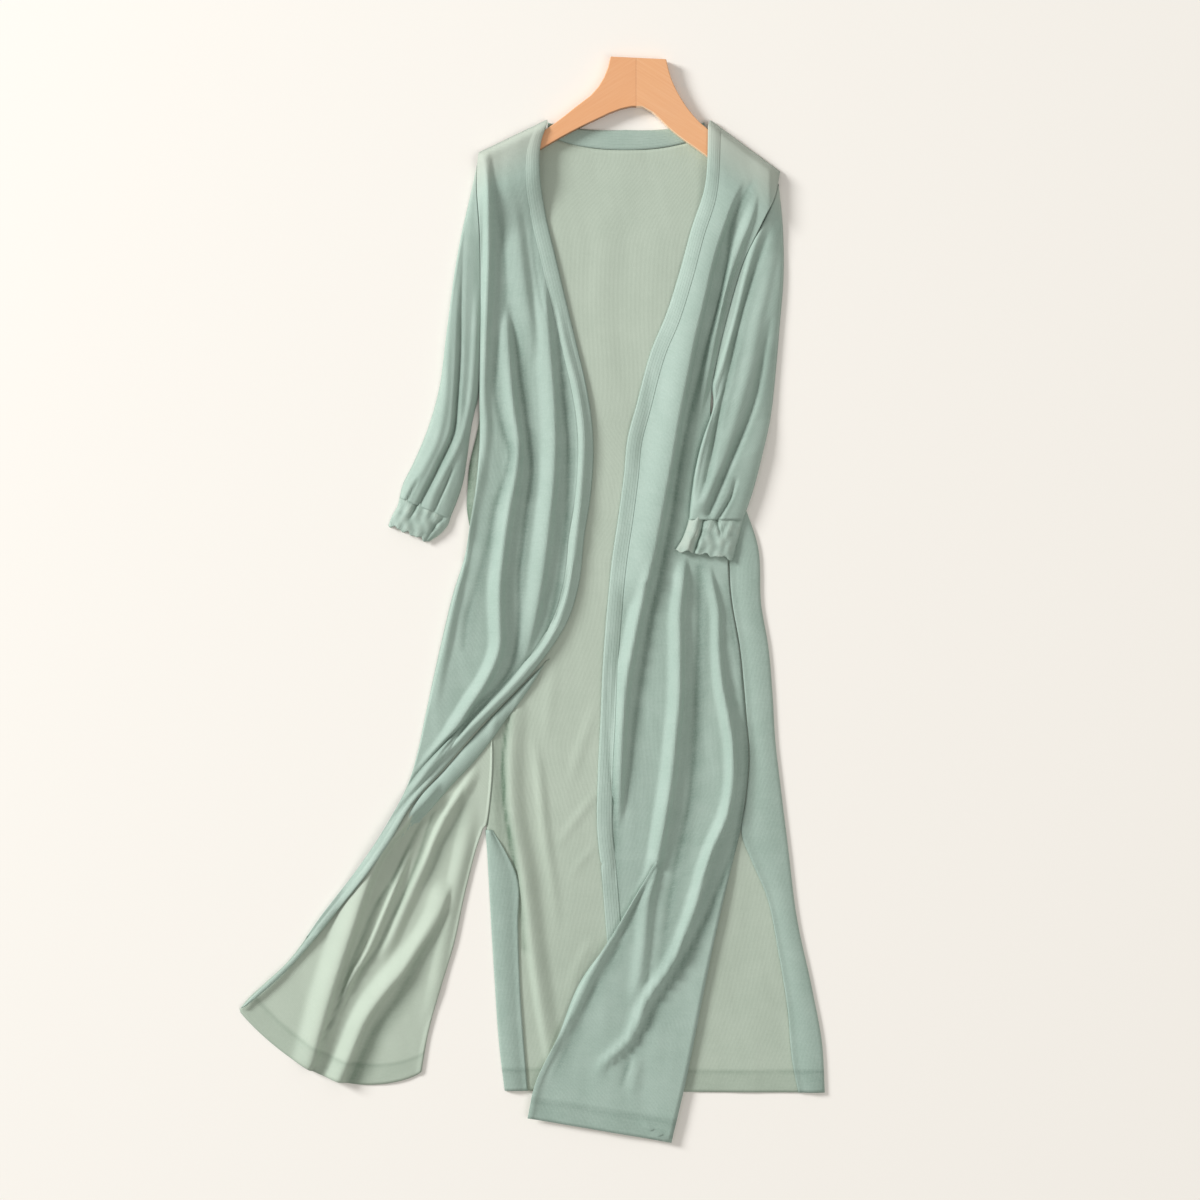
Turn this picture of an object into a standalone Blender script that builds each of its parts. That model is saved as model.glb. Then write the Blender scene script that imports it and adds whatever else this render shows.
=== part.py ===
"""A long open-front knitted cardigan on a wooden hanger, laid flat on the ground plane.

The collar points to +Y, the hem to -Y, and +Z is up, out of the ground. Left and right are
as seen from above. The origin is on the ground under the centre back, at half the length.
Tables are in millimetres, and the meshes are in metres.
"""

import math
from collections import namedtuple

import bmesh
import bpy
import numpy as np

MM = 0.001

# Driving sizes of the cloth, in millimetres.
CLOTH = 1.2
BAND_CLOTH = 1.6
SEAM_GAP = 0.4
ARMHOLE_GAP = 1.5
BACK_MID = CLOTH / 2
FRONT_MID = 2.6
OVER_BODY_MID = 4.8
TURN_RADIUS = (FRONT_MID - BACK_MID) / 2
CLEAR_OF_CLOTH = 1.9

# The neck opening of the back, the shoulders and the band.
BACK_NECK_HALF = 98
BACK_NECK_DEPTH = 30
NECK_POINT_Y = 547
NECK_FADE = 110
BAND_WIDTH = 17
BAND_SEAM_GAP = 1.0
TURN_CLEAR = 2.4
BAND_PROUD = 0.9
NECK_BAND_WIDTH = 23
NECK_STEPS = 10

# The wooden hanger.
HANGER_THICK = 10
HANGER_FLOOR = CLOTH + 0.4
HANGER_EDGE = 2.5
HANGER_LIFT = 10.8
LIFT_RISE = 8
LIFT_HOLD = 46
LIFT_FALL = 62
LIFT_SIDE_START = 163
LIFT_SIDE_FALL = 12

# Mesh resolution: rows run across the garment, columns run down it.
ROW_STEP = 36
SHOULDER_ROWS = (0, 4, 9, 26, 48, 76)

Fold = namedtuple("Fold", "west east path")
Ring = namedtuple("Ring", "outer inner outer_floor inner_floor height")
Colour = namedtuple("Colour", "name base roughness")

OUTER_FACE = Colour("sage knit", (0.40, 0.52, 0.45, 1), 0.75)
PANEL_FACE = Colour("sage knit panel", (0.46, 0.55, 0.47, 1), 0.8)
RIB_FACE = Colour("sage rib", (0.36, 0.48, 0.42, 1), 0.8)
WOOD = Colour("light wood", (0.80, 0.50, 0.27, 1), 0.45)

# Outlines, from the shoulder down, as (x, y).
LEFT_SIDE = (
    (-169, 514), (-171, 489), (-168, 425), (-167, 345), (-168, 230), (-168, 181),
    (-172, 133), (-178, 92), (-186, 46), (-197, 12), (-209, -36), (-220, -85),
    (-230, -132), (-238, -170), (-246, -200), (-277, -262), (-307, -307), (-347, -359),
    (-392, -419), (-417, -442), (-435, -459), (-444, -470),
)
LEFT_EDGE = (
    (-87, 553), (-97, 528), (-99, 486), (-94, 450), (-80, 389), (-57, 293), (-46, 246),
    (-39, 200), (-38, 160), (-41, 120), (-48, 75), (-55, 16), (-67, -23), (-85, -53),
    (-108, -83), (-168, -145), (-209, -192), (-246, -234), (-270, -275), (-292, -307),
    (-328, -352), (-362, -394), (-394, -429), (-422, -454), (-437, -466),
)
LEFT_SEAM = (
    (-181, 46), (-175, -23), (-164, -103), (-156, -168), (-159, -231), (-162, -254),
    (-172, -286), (-185, -337), (-198, -397), (-213, -446), (-228, -501), (-235, -542),
)
LEFT_HEM_SAG = 44
RIGHT_EDGE = (
    (94, 553), (94, 528), (90, 471), (76, 428), (62, 377), (45, 324), (31, 291), (12, 223),
    (2, 185), (-2, 145), (-8, 99), (-15, 52), (-22, -16), (-26, -69), (-29, -139),
    (-32, -200), (-32, -276), (-29, -300),
)
RIGHT_CREASE = (
    (140, 519), (121, 430), (107, 360), (93, 305), (82, 239), (74, 169), (69, 103),
    (66, 46), (63, -36), (57, -118), (52, -200), (44, -262), (36, -297),
)
RIGHT_SEAM = (
    (177, 492), (171, 464), (156, 432), (137, 393), (120, 339), (107, 288), (98, 239),
    (97, 215), (102, 184), (110, 115), (116, 57), (120, 5), (130, -56), (138, -139),
    (141, -179), (137, -230), (131, -268),
)
FLAP_FOLD = ((36, -297), (-24, -397), (-52, -438), (-79, -503), (-105, -558), (-113, -595))
FLAP_SLIT = ((131, -268), (118, -319), (99, -402), (85, -471), (71, -542), (52, -623))
TONGUE_EDGE = ((-29, -300), (-23, -374), (-17, -450), (-12, -550))
TONGUE_HIDDEN = ((36, -297), (33, -374), (32, -450), (32, -545))
BACK_LEFT = (
    (-169, 512), (-170, 489), (-167, 425), (-166, 345), (-167, 247), (-165, 181),
    (-168, 115), (-174, 50), (-172, -23), (-163, -103), (-155, -168), (-158, -231),
    (-160, -258), (-158, -291), (-155, -346), (-150, -430), (-144, -514), (-138, -564),
)
BACK_RIGHT = (
    (177, 490), (171, 464), (156, 432), (137, 393), (120, 339), (107, 288), (98, 239),
    (99, 201), (116, 155), (134, 110), (150, 62), (154, -6), (162, -53), (167, -110),
    (170, -160), (177, -221), (185, -286), (195, -366), (212, -445), (224, -511),
    (227, -566),
)
BACK_LEFT_THIRD = ((-BACK_NECK_HALF, 512), (-94, 200), (-80, -100), (-62, -564))
BACK_RIGHT_THIRD = ((BACK_NECK_HALF, 490), (70, 200), (92, -100), (130, -566))
LEFT_TURNED_EDGE = (
    (-155, -262), (-139, -288), (-125, -319), (-124, -374), (-121, -458), (-116, -528),
    (-113, -564),
)
RIGHT_TURNED_EDGE = (
    (103, 184), (111, 115), (117, 57), (121, 5), (131, -56), (139, -139), (142, -179),
    (138, -230), (133, -270), (143, -297), (161, -339), (175, -405), (185, -466),
    (192, -537), (198, -566),
)
TURN_STARTS_LEFT = -262
TURN_STARTS_RIGHT = 184

# Folds: how far each falls away to the west and to the east of its crest, then the crest
# from the top down, as (x, y, height).
FRONT_LEFT_FOLDS = (
    Fold(9, 16, ((-158, 505, 3), (-160, 430, 9), (-160, 346, 9), (-159, 250, 8), (-157, 170, 0))),
    Fold(17, 13, ((-138, 330, 0), (-123, 230, 9), (-118, 181, 11), (-125, 132, 11),
                  (-137, 70, 11), (-140, 10, 11), (-139, -61, 11), (-160, -93, 10),
                  (-201, -151, 8), (-236, -203, 0))),
    Fold(12, 14, ((-158, 172, 0), (-163, 115, 5), (-177, 46, 5), (-190, -12, 4), (-206, -69, 0))),
    Fold(24, 12, ((-93, 370, 0), (-87, 288, 6), (-82, 228, 9), (-80, 172, 9), (-84, 100, 8),
                  (-91, 40, 8), (-100, -20, 6), (-112, -55, 0))),
    Fold(11, 14, ((-64, 293, 0), (-50, 220, 4), (-49, 150, 5), (-60, 69, 6), (-72, 5, 6),
                  (-99, -52, 6), (-148, -108, 6), (-213, -172, 6), (-250, -216, 4),
                  (-300, -298, 3), (-370, -385, 2), (-430, -452, 0))),
)
LEFT_INSIDE_FOLDS = (
    Fold(46, 15, ((-213, -205, 0), (-250, -269, 9), (-283, -307, 12), (-302, -356, 13),
                  (-322, -419, 13), (-343, -481, 12), (-358, -548, 10))),
    Fold(9, 10, ((-222, -250, 2), (-253, -327, 6), (-292, -397, 7), (-330, -469, 6),
                 (-345, -508, 0))),
    Fold(27, 13, ((-212, -305, 0), (-250, -382, 9), (-292, -444, 11), (-317, -493, 12),
                  (-336, -556, 12))),
)
FRONT_RIGHT_FOLDS = (
    Fold(42, 11, ((133, 455, 0), (106, 389, 9), (89, 345, 12), (77, 286, 13), (64, 228, 14),
                  (55, 169, 14), (44, 115, 13), (34, 75, 12), (25, 34, 11), (9, -57, 9),
                  (-2, -150, 8), (-5, -190, 6), (-7, -250, 0))),
    Fold(18, 13, ((66, 38, 0), (65, 0, 8), (62, -57, 10), (57, -118, 10), (52, -200, 11),
                  (44, -262, 10), (38, -297, 8), (30, -350, 5), (15, -430, 3), (5, -480, 0))),
    Fold(16, 11, ((94, 36, 0), (105, -36, 8), (113, -108, 9), (121, -160, 9), (122, -200, 9),
                  (114, -246, 9), (98, -286, 9), (77, -352, 9), (52, -402, 8), (5, -503, 6),
                  (-32, -542, 4), (-39, -570, 0))),
)
FLAP_EDGE_FOLD = Fold(10, 16, ((36, -297, 3), (-18, -397, 5), (-46, -438, 5), (-73, -503, 4),
                               (-99, -558, 3), (-106, -595, 2)))
BACK_FOLDS = (
    Fold(11, 14, ((-136, -150, 0), (-130, -243, 5), (-113, -319, 6), (-107, -402, 6),
                  (-97, -470, 4), (-90, -520, 0))),
)

# Sleeve rings from the armhole to the cuff: both side points, the ground under each side,
# and how high the tube stands.
SLEEVE_LEFT = (
    Ring((-172, 500), (-170, 246), 0.6, 0.6, 3.4),
    Ring((-180, 462), (-171, 238), 0.6, 0.6, 5),
    Ring((-188, 425), (-172, 229), 0.6, 0.6, 6),
    Ring((-198, 366), (-174, 220), 0.6, 0.6, 7),
    Ring((-206, 305), (-177, 204), 0.6, 0.6, 8),
    Ring((-215, 240), (-180, 186), 0.6, 0.6, 8),
    Ring((-228, 195), (-183, 164), 0.6, 0.6, 8),
    Ring((-245, 155), (-188, 134), 0.6, 0.6, 8),
    Ring((-257, 130), (-196, 110), 0.6, 0.6, 8),
    Ring((-260, 117), (-203, 93), 0.6, 0.6, 7),
)
SLEEVE_RIGHT = (
    Ring((179, 478), (100, 243), 0.6, 0.6, 3.4),
    Ring((182, 440), (101.5, 232), 0.6, 2.8, 5),
    Ring((182, 405), (101, 222), 0.6, OVER_BODY_MID, 6),
    Ring((180, 360), (97, 208), 0.6, OVER_BODY_MID, 7),
    Ring((176, 312), (91, 192), 0.6, OVER_BODY_MID, 8),
    Ring((171, 255), (85, 172), 0.6, OVER_BODY_MID, 8),
    Ring((166, 212), (80, 150), 1.5, OVER_BODY_MID, 8),
    Ring((155, 162), (76, 124), OVER_BODY_MID, OVER_BODY_MID, 8),
    Ring((145, 124), (74, 106), OVER_BODY_MID, OVER_BODY_MID, 8),
    Ring((134, 92), (73, 92), OVER_BODY_MID, OVER_BODY_MID, 7),
)
CUFF_LEFT = (
    Ring((-260.3, 116.2), (-203.5, 92.1), 0.8, 0.8, 6),
    Ring((-268, 101), (-214, 78), 0.8, 0.8, 6),
    Ring((-272, 86), (-228, 65), 0.8, 0.8, 6),
)
CUFF_RIGHT = (
    Ring((133.6, 91.1), (72.6, 91.1), OVER_BODY_MID, OVER_BODY_MID, 6),
    Ring((128, 70), (65, 72), OVER_BODY_MID, OVER_BODY_MID, 6),
    Ring((122, 45), (59, 53), OVER_BODY_MID, OVER_BODY_MID, 6),
)
SLEEVE_LEFT_FOLDS = (
    Fold(10, 9, ((-166, 360, 0), (-172, 268, 4), (-182, 216, 6), (-193, 176, 6), (-213, 151, 6),
                 (-226, 128, 3))),
    Fold(14, 9, ((-189, 420, 0), (-199, 310, 4), (-206, 241, 5), (-231, 159, 5), (-250, 124, 3))),
)
SLEEVE_RIGHT_FOLDS = (
    Fold(22, 16, ((168, 400, 0), (150, 286, 4), (133, 239, 6), (116, 181, 7), (100, 138, 7),
                  (82, 104, 4))),
)

# The hanger's outline: neck block, right arm, and back along the underside to the left arm.
HANGER_RIGHT_FLANK = ((46, 620), (51, 600), (63, 575), (84, 548), (103, 533), (120, 521), (151, 497))
HANGER_RIGHT_TIP = ((160, 487), (160, 478), (152, 474))
HANGER_UNDERSIDE = (
    (120, 491), (100, 503), (84, 515), (64, 529), (48, 542), (29, 560), (17, 566), (-2, 564),
    (-36, 550), (-70, 533), (-91, 521), (-120, 504), (-140, 492),
)
HANGER_LEFT_TIP = ((-152, 490), (-159, 496), (-158, 504))
HANGER_LEFT_FLANK = (
    (-148, 512), (-122, 524), (-98, 536), (-84, 545), (-57, 566), (-36, 583), (-22, 607), (-18, 623),
)


def along(points, fractions):
    """Places on the smooth curve through the points, at these fractions of its length."""
    points = np.asarray(points, float)
    knots = np.r_[0, np.cumsum(np.linalg.norm(np.diff(points[:, :2], axis=0), axis=1))]
    slopes = np.gradient(points, knots, axis=0)
    fine = np.linspace(0, knots[-1], 40 * len(points))
    span = np.clip(np.searchsorted(knots, fine, side="right") - 1, 0, len(points) - 2)
    width = (knots[span + 1] - knots[span])[:, None]
    t = (fine[:, None] - knots[span][:, None]) / width
    curve = (
        (2 * t**3 - 3 * t**2 + 1) * points[span]
        + (t**3 - 2 * t**2 + t) * width * slopes[span]
        + (3 * t**2 - 2 * t**3) * points[span + 1]
        + (t**3 - t**2) * width * slopes[span + 1]
    )
    gone = np.r_[0, np.cumsum(np.linalg.norm(np.diff(curve[:, :2], axis=0), axis=1))]
    wanted = np.asarray(fractions) * gone[-1]
    return np.stack([np.interp(wanted, gone, axis) for axis in curve.T], axis=1)


def at_height(points, heights):
    """Places where a curve that runs down the garment passes these values of y."""
    curve = along(points, np.linspace(0, 1, 400))
    x = np.interp(-np.asarray(heights), -curve[:, 1], curve[:, 0])
    return np.stack([x, heights], axis=1)


def ease(value):
    """A smooth step from 0 to 1."""
    value = np.clip(value, 0, 1)
    return value * value * (3 - 2 * value)


def fold_heights(places, folds):
    """How far the folds raise the cloth at each place."""
    flat = places.reshape(-1, 2)
    total = np.zeros(len(flat))
    for fold in folds:
        crest = along(fold.path, np.linspace(0, 1, 90))
        heading = np.gradient(crest[:, :2], axis=0)
        heading /= np.linalg.norm(heading, axis=1)[:, None]
        offset = flat[:, None] - crest[None, :, :2]
        nearest = np.argmin((offset**2).sum(axis=2), axis=1)
        offset = offset[np.arange(len(flat)), nearest]
        side = heading[nearest, 0] * offset[:, 1] - heading[nearest, 1] * offset[:, 0]
        away = np.linalg.norm(offset, axis=1) / np.where(side < 0, fold.west, fold.east)
        bump = 0.5 + 0.5 * np.cos(math.pi * np.clip(away, 0, 1))
        total += (np.maximum(crest[nearest, 2], 0) * bump) ** 3
    return np.cbrt(total).reshape(places.shape[:-1])


def shoulder_depth(places):
    """How far below the shoulder seam each place lies."""
    left, right = np.array(LEFT_SIDE[0]), np.array(RIGHT_SEAM[0])
    left_neck, right_neck = np.array(LEFT_EDGE[0]), np.array(RIGHT_EDGE[0])
    depth = []
    for tip, neck, turn in ((left, left_neck, 1), (right, right_neck, -1)):
        run = (neck - tip) / np.linalg.norm(neck - tip)
        offset = places - tip
        depth.append(-turn * (run[0] * offset[..., 1] - run[1] * offset[..., 0]))
    return np.where(places[..., 0] < 0, depth[0], depth[1])


def hanger_lift(places):
    """How far the hanger's arms raise the cloth that lies over them."""
    depth = shoulder_depth(places)
    rise = ease(depth / LIFT_RISE)
    fall = 1 - ease((depth - LIFT_HOLD) / LIFT_FALL)
    side = 1 - ease((np.abs(places[..., 0]) - LIFT_SIDE_START) / LIFT_SIDE_FALL)
    return HANGER_LIFT * rise * fall * side


def left_inside_mid(places):
    return BACK_MID + fold_heights(places, LEFT_INSIDE_FOLDS)


def front_left_mid(places):
    """Mid-surface of the left front where it lies outer face up."""
    over_inside = left_inside_mid(places) + CLEAR_OF_CLOTH
    resting = np.maximum(FRONT_MID, over_inside)
    return resting + hanger_lift(places) + fold_heights(places, FRONT_LEFT_FOLDS)


def front_right_mid(places, lowest=FRONT_MID):
    folds = FRONT_RIGHT_FOLDS
    return lowest + hanger_lift(places) + fold_heights(places, folds)


def row_fractions(length):
    """Fractions of a panel's length: close rows at the shoulder, then even ones."""
    first = [row / length for row in SHOULDER_ROWS]
    more = round(length * (1 - first[-1]) / ROW_STEP)
    return np.r_[first[:-1], np.linspace(first[-1], 1, more + 1)]


def across(lines, counts):
    """A grid of places: each row runs straight from line to line, in so many steps."""
    grid = [lines[0][:, None]]
    for start, end, count in zip(lines, lines[1:], counts):
        steps = np.linspace(0, 1, count + 1)[1:, None]
        grid.append(start[:, None] + (end - start)[:, None] * steps)
    return np.concatenate(grid, axis=1)


def raised(places, heights):
    return np.concatenate([places, np.asarray(heights)[..., None]], axis=-1)


class Sheet:
    """Grids of points that share edges, joined into one open surface."""

    def __init__(self):
        self.mesh = bmesh.new()
        self.known = {}

    def vertex(self, point):
        key = tuple(np.round(point, 3))
        if key not in self.known:
            self.known[key] = self.mesh.verts.new(np.asarray(point) * MM)
        return self.known[key]

    def add(self, grid, facing_up=True, ring=False):
        rows = [[self.vertex(point) for point in row] for row in grid]
        if ring:
            rows = [row + row[:1] for row in rows]
        for upper, lower in zip(rows, rows[1:]):
            for k in range(len(upper) - 1):
                corners = [upper[k], lower[k], lower[k + 1], upper[k + 1]]
                self.mesh.faces.new(corners if facing_up else corners[::-1])

    def object(self, name, colour, thickness):
        data = bpy.data.meshes.new(name)
        self.mesh.to_mesh(data)
        self.mesh.free()
        data.shade_smooth()
        piece = add_object(name, data, colour)
        shell = piece.modifiers.new("thickness", "SOLIDIFY")
        shell.thickness = thickness * MM
        shell.offset = 0
        return piece


def material(colour):
    found = bpy.data.materials.get(colour.name)
    if found:
        return found
    made = bpy.data.materials.new(colour.name)
    made.use_nodes = True
    shader = made.node_tree.nodes["Principled BSDF"]
    shader.inputs["Base Color"].default_value = colour.base
    shader.inputs["Roughness"].default_value = colour.roughness
    shader.inputs["Metallic"].default_value = 0
    return made


def add_object(name, data, colour):
    piece = bpy.data.objects.new(name, data)
    bpy.data.collections["cardigan"].objects.link(piece)
    data.materials.append(material(colour))
    return piece


def neck_drop(x):
    """How far the back's top edge lies below the neck points, at each x."""
    inside = np.clip(1 - (x / BACK_NECK_HALF) ** 2, 0, 1)
    curve = BACK_NECK_DEPTH * np.sqrt(inside)
    left_slope = (NECK_POINT_Y - BACK_LEFT[0][1]) / (-BACK_LEFT[0][0] - BACK_NECK_HALF)
    right_slope = (NECK_POINT_Y - BACK_RIGHT[0][1]) / (BACK_RIGHT[0][0] - BACK_NECK_HALF)
    slope = np.where(x < 0, left_slope, right_slope)
    return np.where(np.abs(x) < BACK_NECK_HALF, curve, slope * (np.abs(x) - BACK_NECK_HALF))


def back_grid():
    """Places of the back panel, its top row bent to the shoulders and the neck."""
    rows = row_fractions(BACK_LEFT[0][1] - BACK_LEFT[-1][1])
    left, right = along(BACK_LEFT, rows), along(BACK_RIGHT, rows)
    grid = across([left, along(BACK_LEFT_THIRD, rows), along(BACK_RIGHT_THIRD, rows), right],
                  [3, NECK_STEPS, 4])
    top = grid[0]
    shift = NECK_POINT_Y - neck_drop(top[:, 0]) - top[:, 1]
    gone = grid[0][None, :, 1] - grid[..., 1]
    grid[..., 1] += shift * (1 - ease(gone / NECK_FADE))
    return grid


def turned_strip(sheet, outline, free_edge, inward, facing_up):
    """Cloth that turns up round a side of the back and lies on it, to its free edge."""
    x = outline[:, 0]
    edge = at_height(free_edge, outline[:, 1])[:, 0]
    rest = x + inward * TURN_RADIUS
    span = edge - rest
    columns = [
        (x, BACK_MID), (x - inward * TURN_RADIUS, BACK_MID + TURN_RADIUS), (rest, FRONT_MID),
        (rest + 0.5 * span, FRONT_MID), (edge, FRONT_MID),
    ]
    points = [np.stack([cx, outline[:, 1], np.full(len(x), z)], axis=1) for cx, z in columns]
    sheet.add(np.stack(points, axis=1), facing_up=facing_up)


def make_back():
    grid = back_grid()
    sheet = Sheet()
    sheet.add(raised(grid, BACK_MID + fold_heights(grid, BACK_FOLDS)))
    left = grid[:, 0][grid[:, 0, 1] < TURN_STARTS_LEFT]
    turned_strip(sheet, left, LEFT_TURNED_EDGE, 1, facing_up=False)
    right = grid[:, -1][grid[:, -1, 1] < TURN_STARTS_RIGHT]
    turned_strip(sheet, right, RIGHT_TURNED_EDGE, -1, facing_up=True)
    sheet.object("back", PANEL_FACE, CLOTH)


def band_lines(edge, side, rows):
    """The seam where the band meets its front, and the band's own two sides."""
    outer = along(edge, rows)
    inward = along(side, rows) - outer
    reach = np.linalg.norm(inward, axis=1)[:, None]
    width = np.minimum(BAND_WIDTH, reach - TURN_CLEAR)
    seam = outer + inward / reach * (width + BAND_SEAM_GAP)
    own = outer + inward / reach * width
    return seam, own, outer, reach[:, 0]


def make_front_left():
    rows = row_fractions(1050)
    side = along(LEFT_SIDE, rows)
    seam, own, edge, reach = band_lines(LEFT_EDGE, LEFT_SIDE, rows)
    panel = reach > BAND_WIDTH + BAND_SEAM_GAP + 3
    top = across([side[panel], seam[panel]], [15])
    heights = front_left_mid(top)
    opened = side[:, 1] < LEFT_SEAM[0][1]
    heights[opened[panel], 0] = BACK_MID + TURN_RADIUS
    sheet = Sheet()
    sheet.add(raised(top, heights))

    turn = side[opened]
    seam_line = along(LEFT_SEAM, np.linspace(0, 1, len(turn)) ** 0.92)
    inward = seam_line - turn
    reach = np.linalg.norm(inward, axis=1)[:, None]
    tucked = turn + inward / reach * TURN_RADIUS
    inside = across([turn, tucked, seam_line], [1, 16])
    sag = np.sin(math.pi * np.linspace(0, 1, inside.shape[1])) ** 0.8
    inside[..., 1] -= LEFT_HEM_SAG * sag * ease(np.linspace(-1.2, 1, len(turn)))[:, None]
    inside_heights = left_inside_mid(inside)
    inside_heights[:, 0] = BACK_MID + TURN_RADIUS
    sheet.add(raised(inside, inside_heights), facing_up=False)
    sheet.object("front_left", OUTER_FACE, CLOTH)

    band = across([own, edge], [2])
    strip = Sheet()
    proud = BAND_PROUD * ~panel
    strip.add(raised(band, front_left_mid(band) + proud[:, None]))
    strip.object("band_left", RIB_FACE, BAND_CLOTH)


def make_front_right():
    rows = row_fractions(900)
    seam, own, edge, _ = band_lines(RIGHT_EDGE, RIGHT_CREASE, rows)
    crease = along(RIGHT_CREASE, rows)
    outer = along(RIGHT_SEAM, rows)
    upper = across([seam, crease, outer], [7, 8])
    sheet = Sheet()
    heights = front_right_mid(upper)
    sheet.add(raised(upper, heights))

    low_rows = np.linspace(0, 1, 11)
    fold = along(FLAP_FOLD, low_rows)
    slit = along(FLAP_SLIT, low_rows)
    flap = across([fold, slit], [8])
    lift = 1.9 * ease(low_rows * 4)[:, None]
    flap_heights = np.maximum(front_right_mid(flap), FRONT_MID + fold_heights(flap, (FLAP_EDGE_FOLD,)))
    flap_heights = flap_heights + lift
    flap[0], flap_heights[0] = upper[-1, 7:], heights[-1, 7:]
    sheet.add(raised(flap, flap_heights))

    tongue_seam, tongue_own, tongue_edge, _ = band_lines(TONGUE_EDGE, TONGUE_HIDDEN, low_rows)
    hidden = along(TONGUE_HIDDEN, low_rows)
    tongue = across([tongue_seam, hidden], [7])
    settle = (1 - ease(low_rows * 5))[:, None]
    tongue_heights = FRONT_MID + (front_right_mid(tongue) - FRONT_MID) * settle
    tongue[0], tongue_heights[0] = upper[-1, :8], heights[-1, :8]
    sheet.add(raised(tongue, tongue_heights))
    sheet.object("front_right", OUTER_FACE, CLOTH)

    band = np.concatenate([across([own, edge], [2]), across([tongue_own, tongue_edge], [2])[1:]])
    settle = np.r_[np.ones(len(own)), settle[1:, 0]][:, None]
    band_heights = FRONT_MID + (front_right_mid(band) - FRONT_MID) * settle
    strip = Sheet()
    strip.add(raised(band, band_heights), facing_up=False)
    strip.object("band_right", RIB_FACE, BAND_CLOTH)


def make_neck_band():
    """The stretch of the band round the back neck, along the back panel's top edge."""
    x = np.linspace(-BACK_NECK_HALF, BACK_NECK_HALF, NECK_STEPS + 1)
    lower = np.stack([x, NECK_POINT_Y - neck_drop(x) + SEAM_GAP], axis=1)
    heading = np.gradient(lower, axis=0)
    heading /= np.linalg.norm(heading, axis=1)[:, None]
    steep = np.clip(np.abs(heading[:, 1]), 0, 1)
    width = NECK_BAND_WIDTH * (1 - 0.75 * steep)
    upper = lower + np.stack([np.zeros(len(x)), width], axis=1)
    grid = across([lower, upper], [2])
    sheet = Sheet()
    sheet.add(raised(grid, np.full(grid.shape[:-1], BAND_CLOTH / 2)), facing_up=False)
    sheet.object("band_neck", RIB_FACE, BAND_CLOTH)


def tube(rings, folds, armhole, around, between):
    """A flattened tube through the rings. Its first ring follows the armhole."""
    steps = np.linspace(0, 1, (len(rings) - 1) * between + 1)
    knots = np.linspace(0, 1, len(rings))

    def blend(values):
        return np.interp(steps, knots, values)

    outer = np.stack([blend([ring.outer[k] for ring in rings]) for k in (0, 1)], axis=1)
    inner = np.stack([blend([ring.inner[k] for ring in rings]) for k in (0, 1)], axis=1)
    across_steps = np.linspace(0, 1, around + 1)
    places = outer[:, None] + (inner - outer)[:, None] * across_steps[:, None]
    if armhole is not None:
        line = at_height(armhole, places[0, :, 1])
        bow = line - places[0]
        places += bow * (1 - ease(steps * len(rings) / 3))[:, None, None]
    spread = ease(across_steps)
    floor = blend([ring.outer_floor for ring in rings])[:, None] * (1 - spread) + (
        blend([ring.inner_floor for ring in rings])[:, None] * spread
    )
    height = blend([ring.height for ring in rings])[:, None]
    crown = 1 - np.abs(2 * across_steps - 1) ** 3
    top = floor + 1.9 + (height - 1.9) * crown + fold_heights(places, folds)
    top += hanger_lift(places) * 0.6 * (1 - ease(steps * 6))[:, None]
    middle = 0.5 * (floor + top)
    under = raised(places, floor)[:, 1:-1]
    over = raised(places, top)[:, 1:-1][:, ::-1]
    first = raised(places[:, :1], middle[:, :1])
    last = raised(places[:, -1:], middle[:, -1:])
    return np.concatenate([first, under, last, over], axis=1)


def make_sleeve(name, rings, folds, armhole, outwards):
    side = [(x + outwards * ARMHOLE_GAP, y) for x, y in armhole]
    sheet = Sheet()
    sheet.add(tube(rings, folds, side, around=9, between=2), facing_up=outwards < 0, ring=True)
    sheet.object(name, OUTER_FACE, CLOTH)


def make_cuff(name, rings, outwards):
    sheet = Sheet()
    sheet.add(tube(rings, (), None, around=8, between=1), facing_up=outwards < 0, ring=True)
    sheet.object(name, RIB_FACE, BAND_CLOTH)


def make_hanger():
    steps = np.linspace(0, 1, 15)
    runs = [
        along(HANGER_RIGHT_FLANK, steps), np.array(HANGER_RIGHT_TIP, float),
        along(HANGER_UNDERSIDE, np.linspace(0, 1, 25)), np.array(HANGER_LEFT_TIP, float),
        along(HANGER_LEFT_FLANK, steps),
    ]
    outline = np.concatenate(runs) * MM
    sketch = bpy.data.curves.new("hanger outline", "CURVE")
    sketch.dimensions = "2D"
    sketch.fill_mode = "BOTH"
    sketch.extrude = HANGER_THICK / 2 * MM
    spline = sketch.splines.new("POLY")
    spline.points.add(len(outline) - 1)
    for point, (x, y) in zip(spline.points, outline):
        point.co = (x, y, 0, 1)
    spline.use_cyclic_u = True
    guide = bpy.data.objects.new("hanger outline", sketch)
    bpy.data.collections["cardigan"].objects.link(guide)
    bpy.context.view_layer.update()
    data = bpy.data.meshes.new_from_object(guide.evaluated_get(bpy.context.evaluated_depsgraph_get()))
    bpy.data.objects.remove(guide)
    solid = bmesh.new()
    solid.from_mesh(data)
    bmesh.ops.remove_doubles(solid, verts=solid.verts, dist=0.00001)
    bmesh.ops.recalc_face_normals(solid, faces=solid.faces)
    solid.to_mesh(data)
    solid.free()
    data.name = "hanger"
    data.shade_smooth()
    data.set_sharp_from_angle(angle=math.radians(40))
    hanger = add_object("hanger", data, WOOD)
    hanger.location.z = (HANGER_FLOOR + HANGER_THICK / 2) * MM
    edge = hanger.modifiers.new("rounded edges", "BEVEL")
    edge.width = HANGER_EDGE * MM
    edge.segments = 2
    edge.limit_method = "ANGLE"
    edge.angle_limit = math.radians(50)


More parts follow.
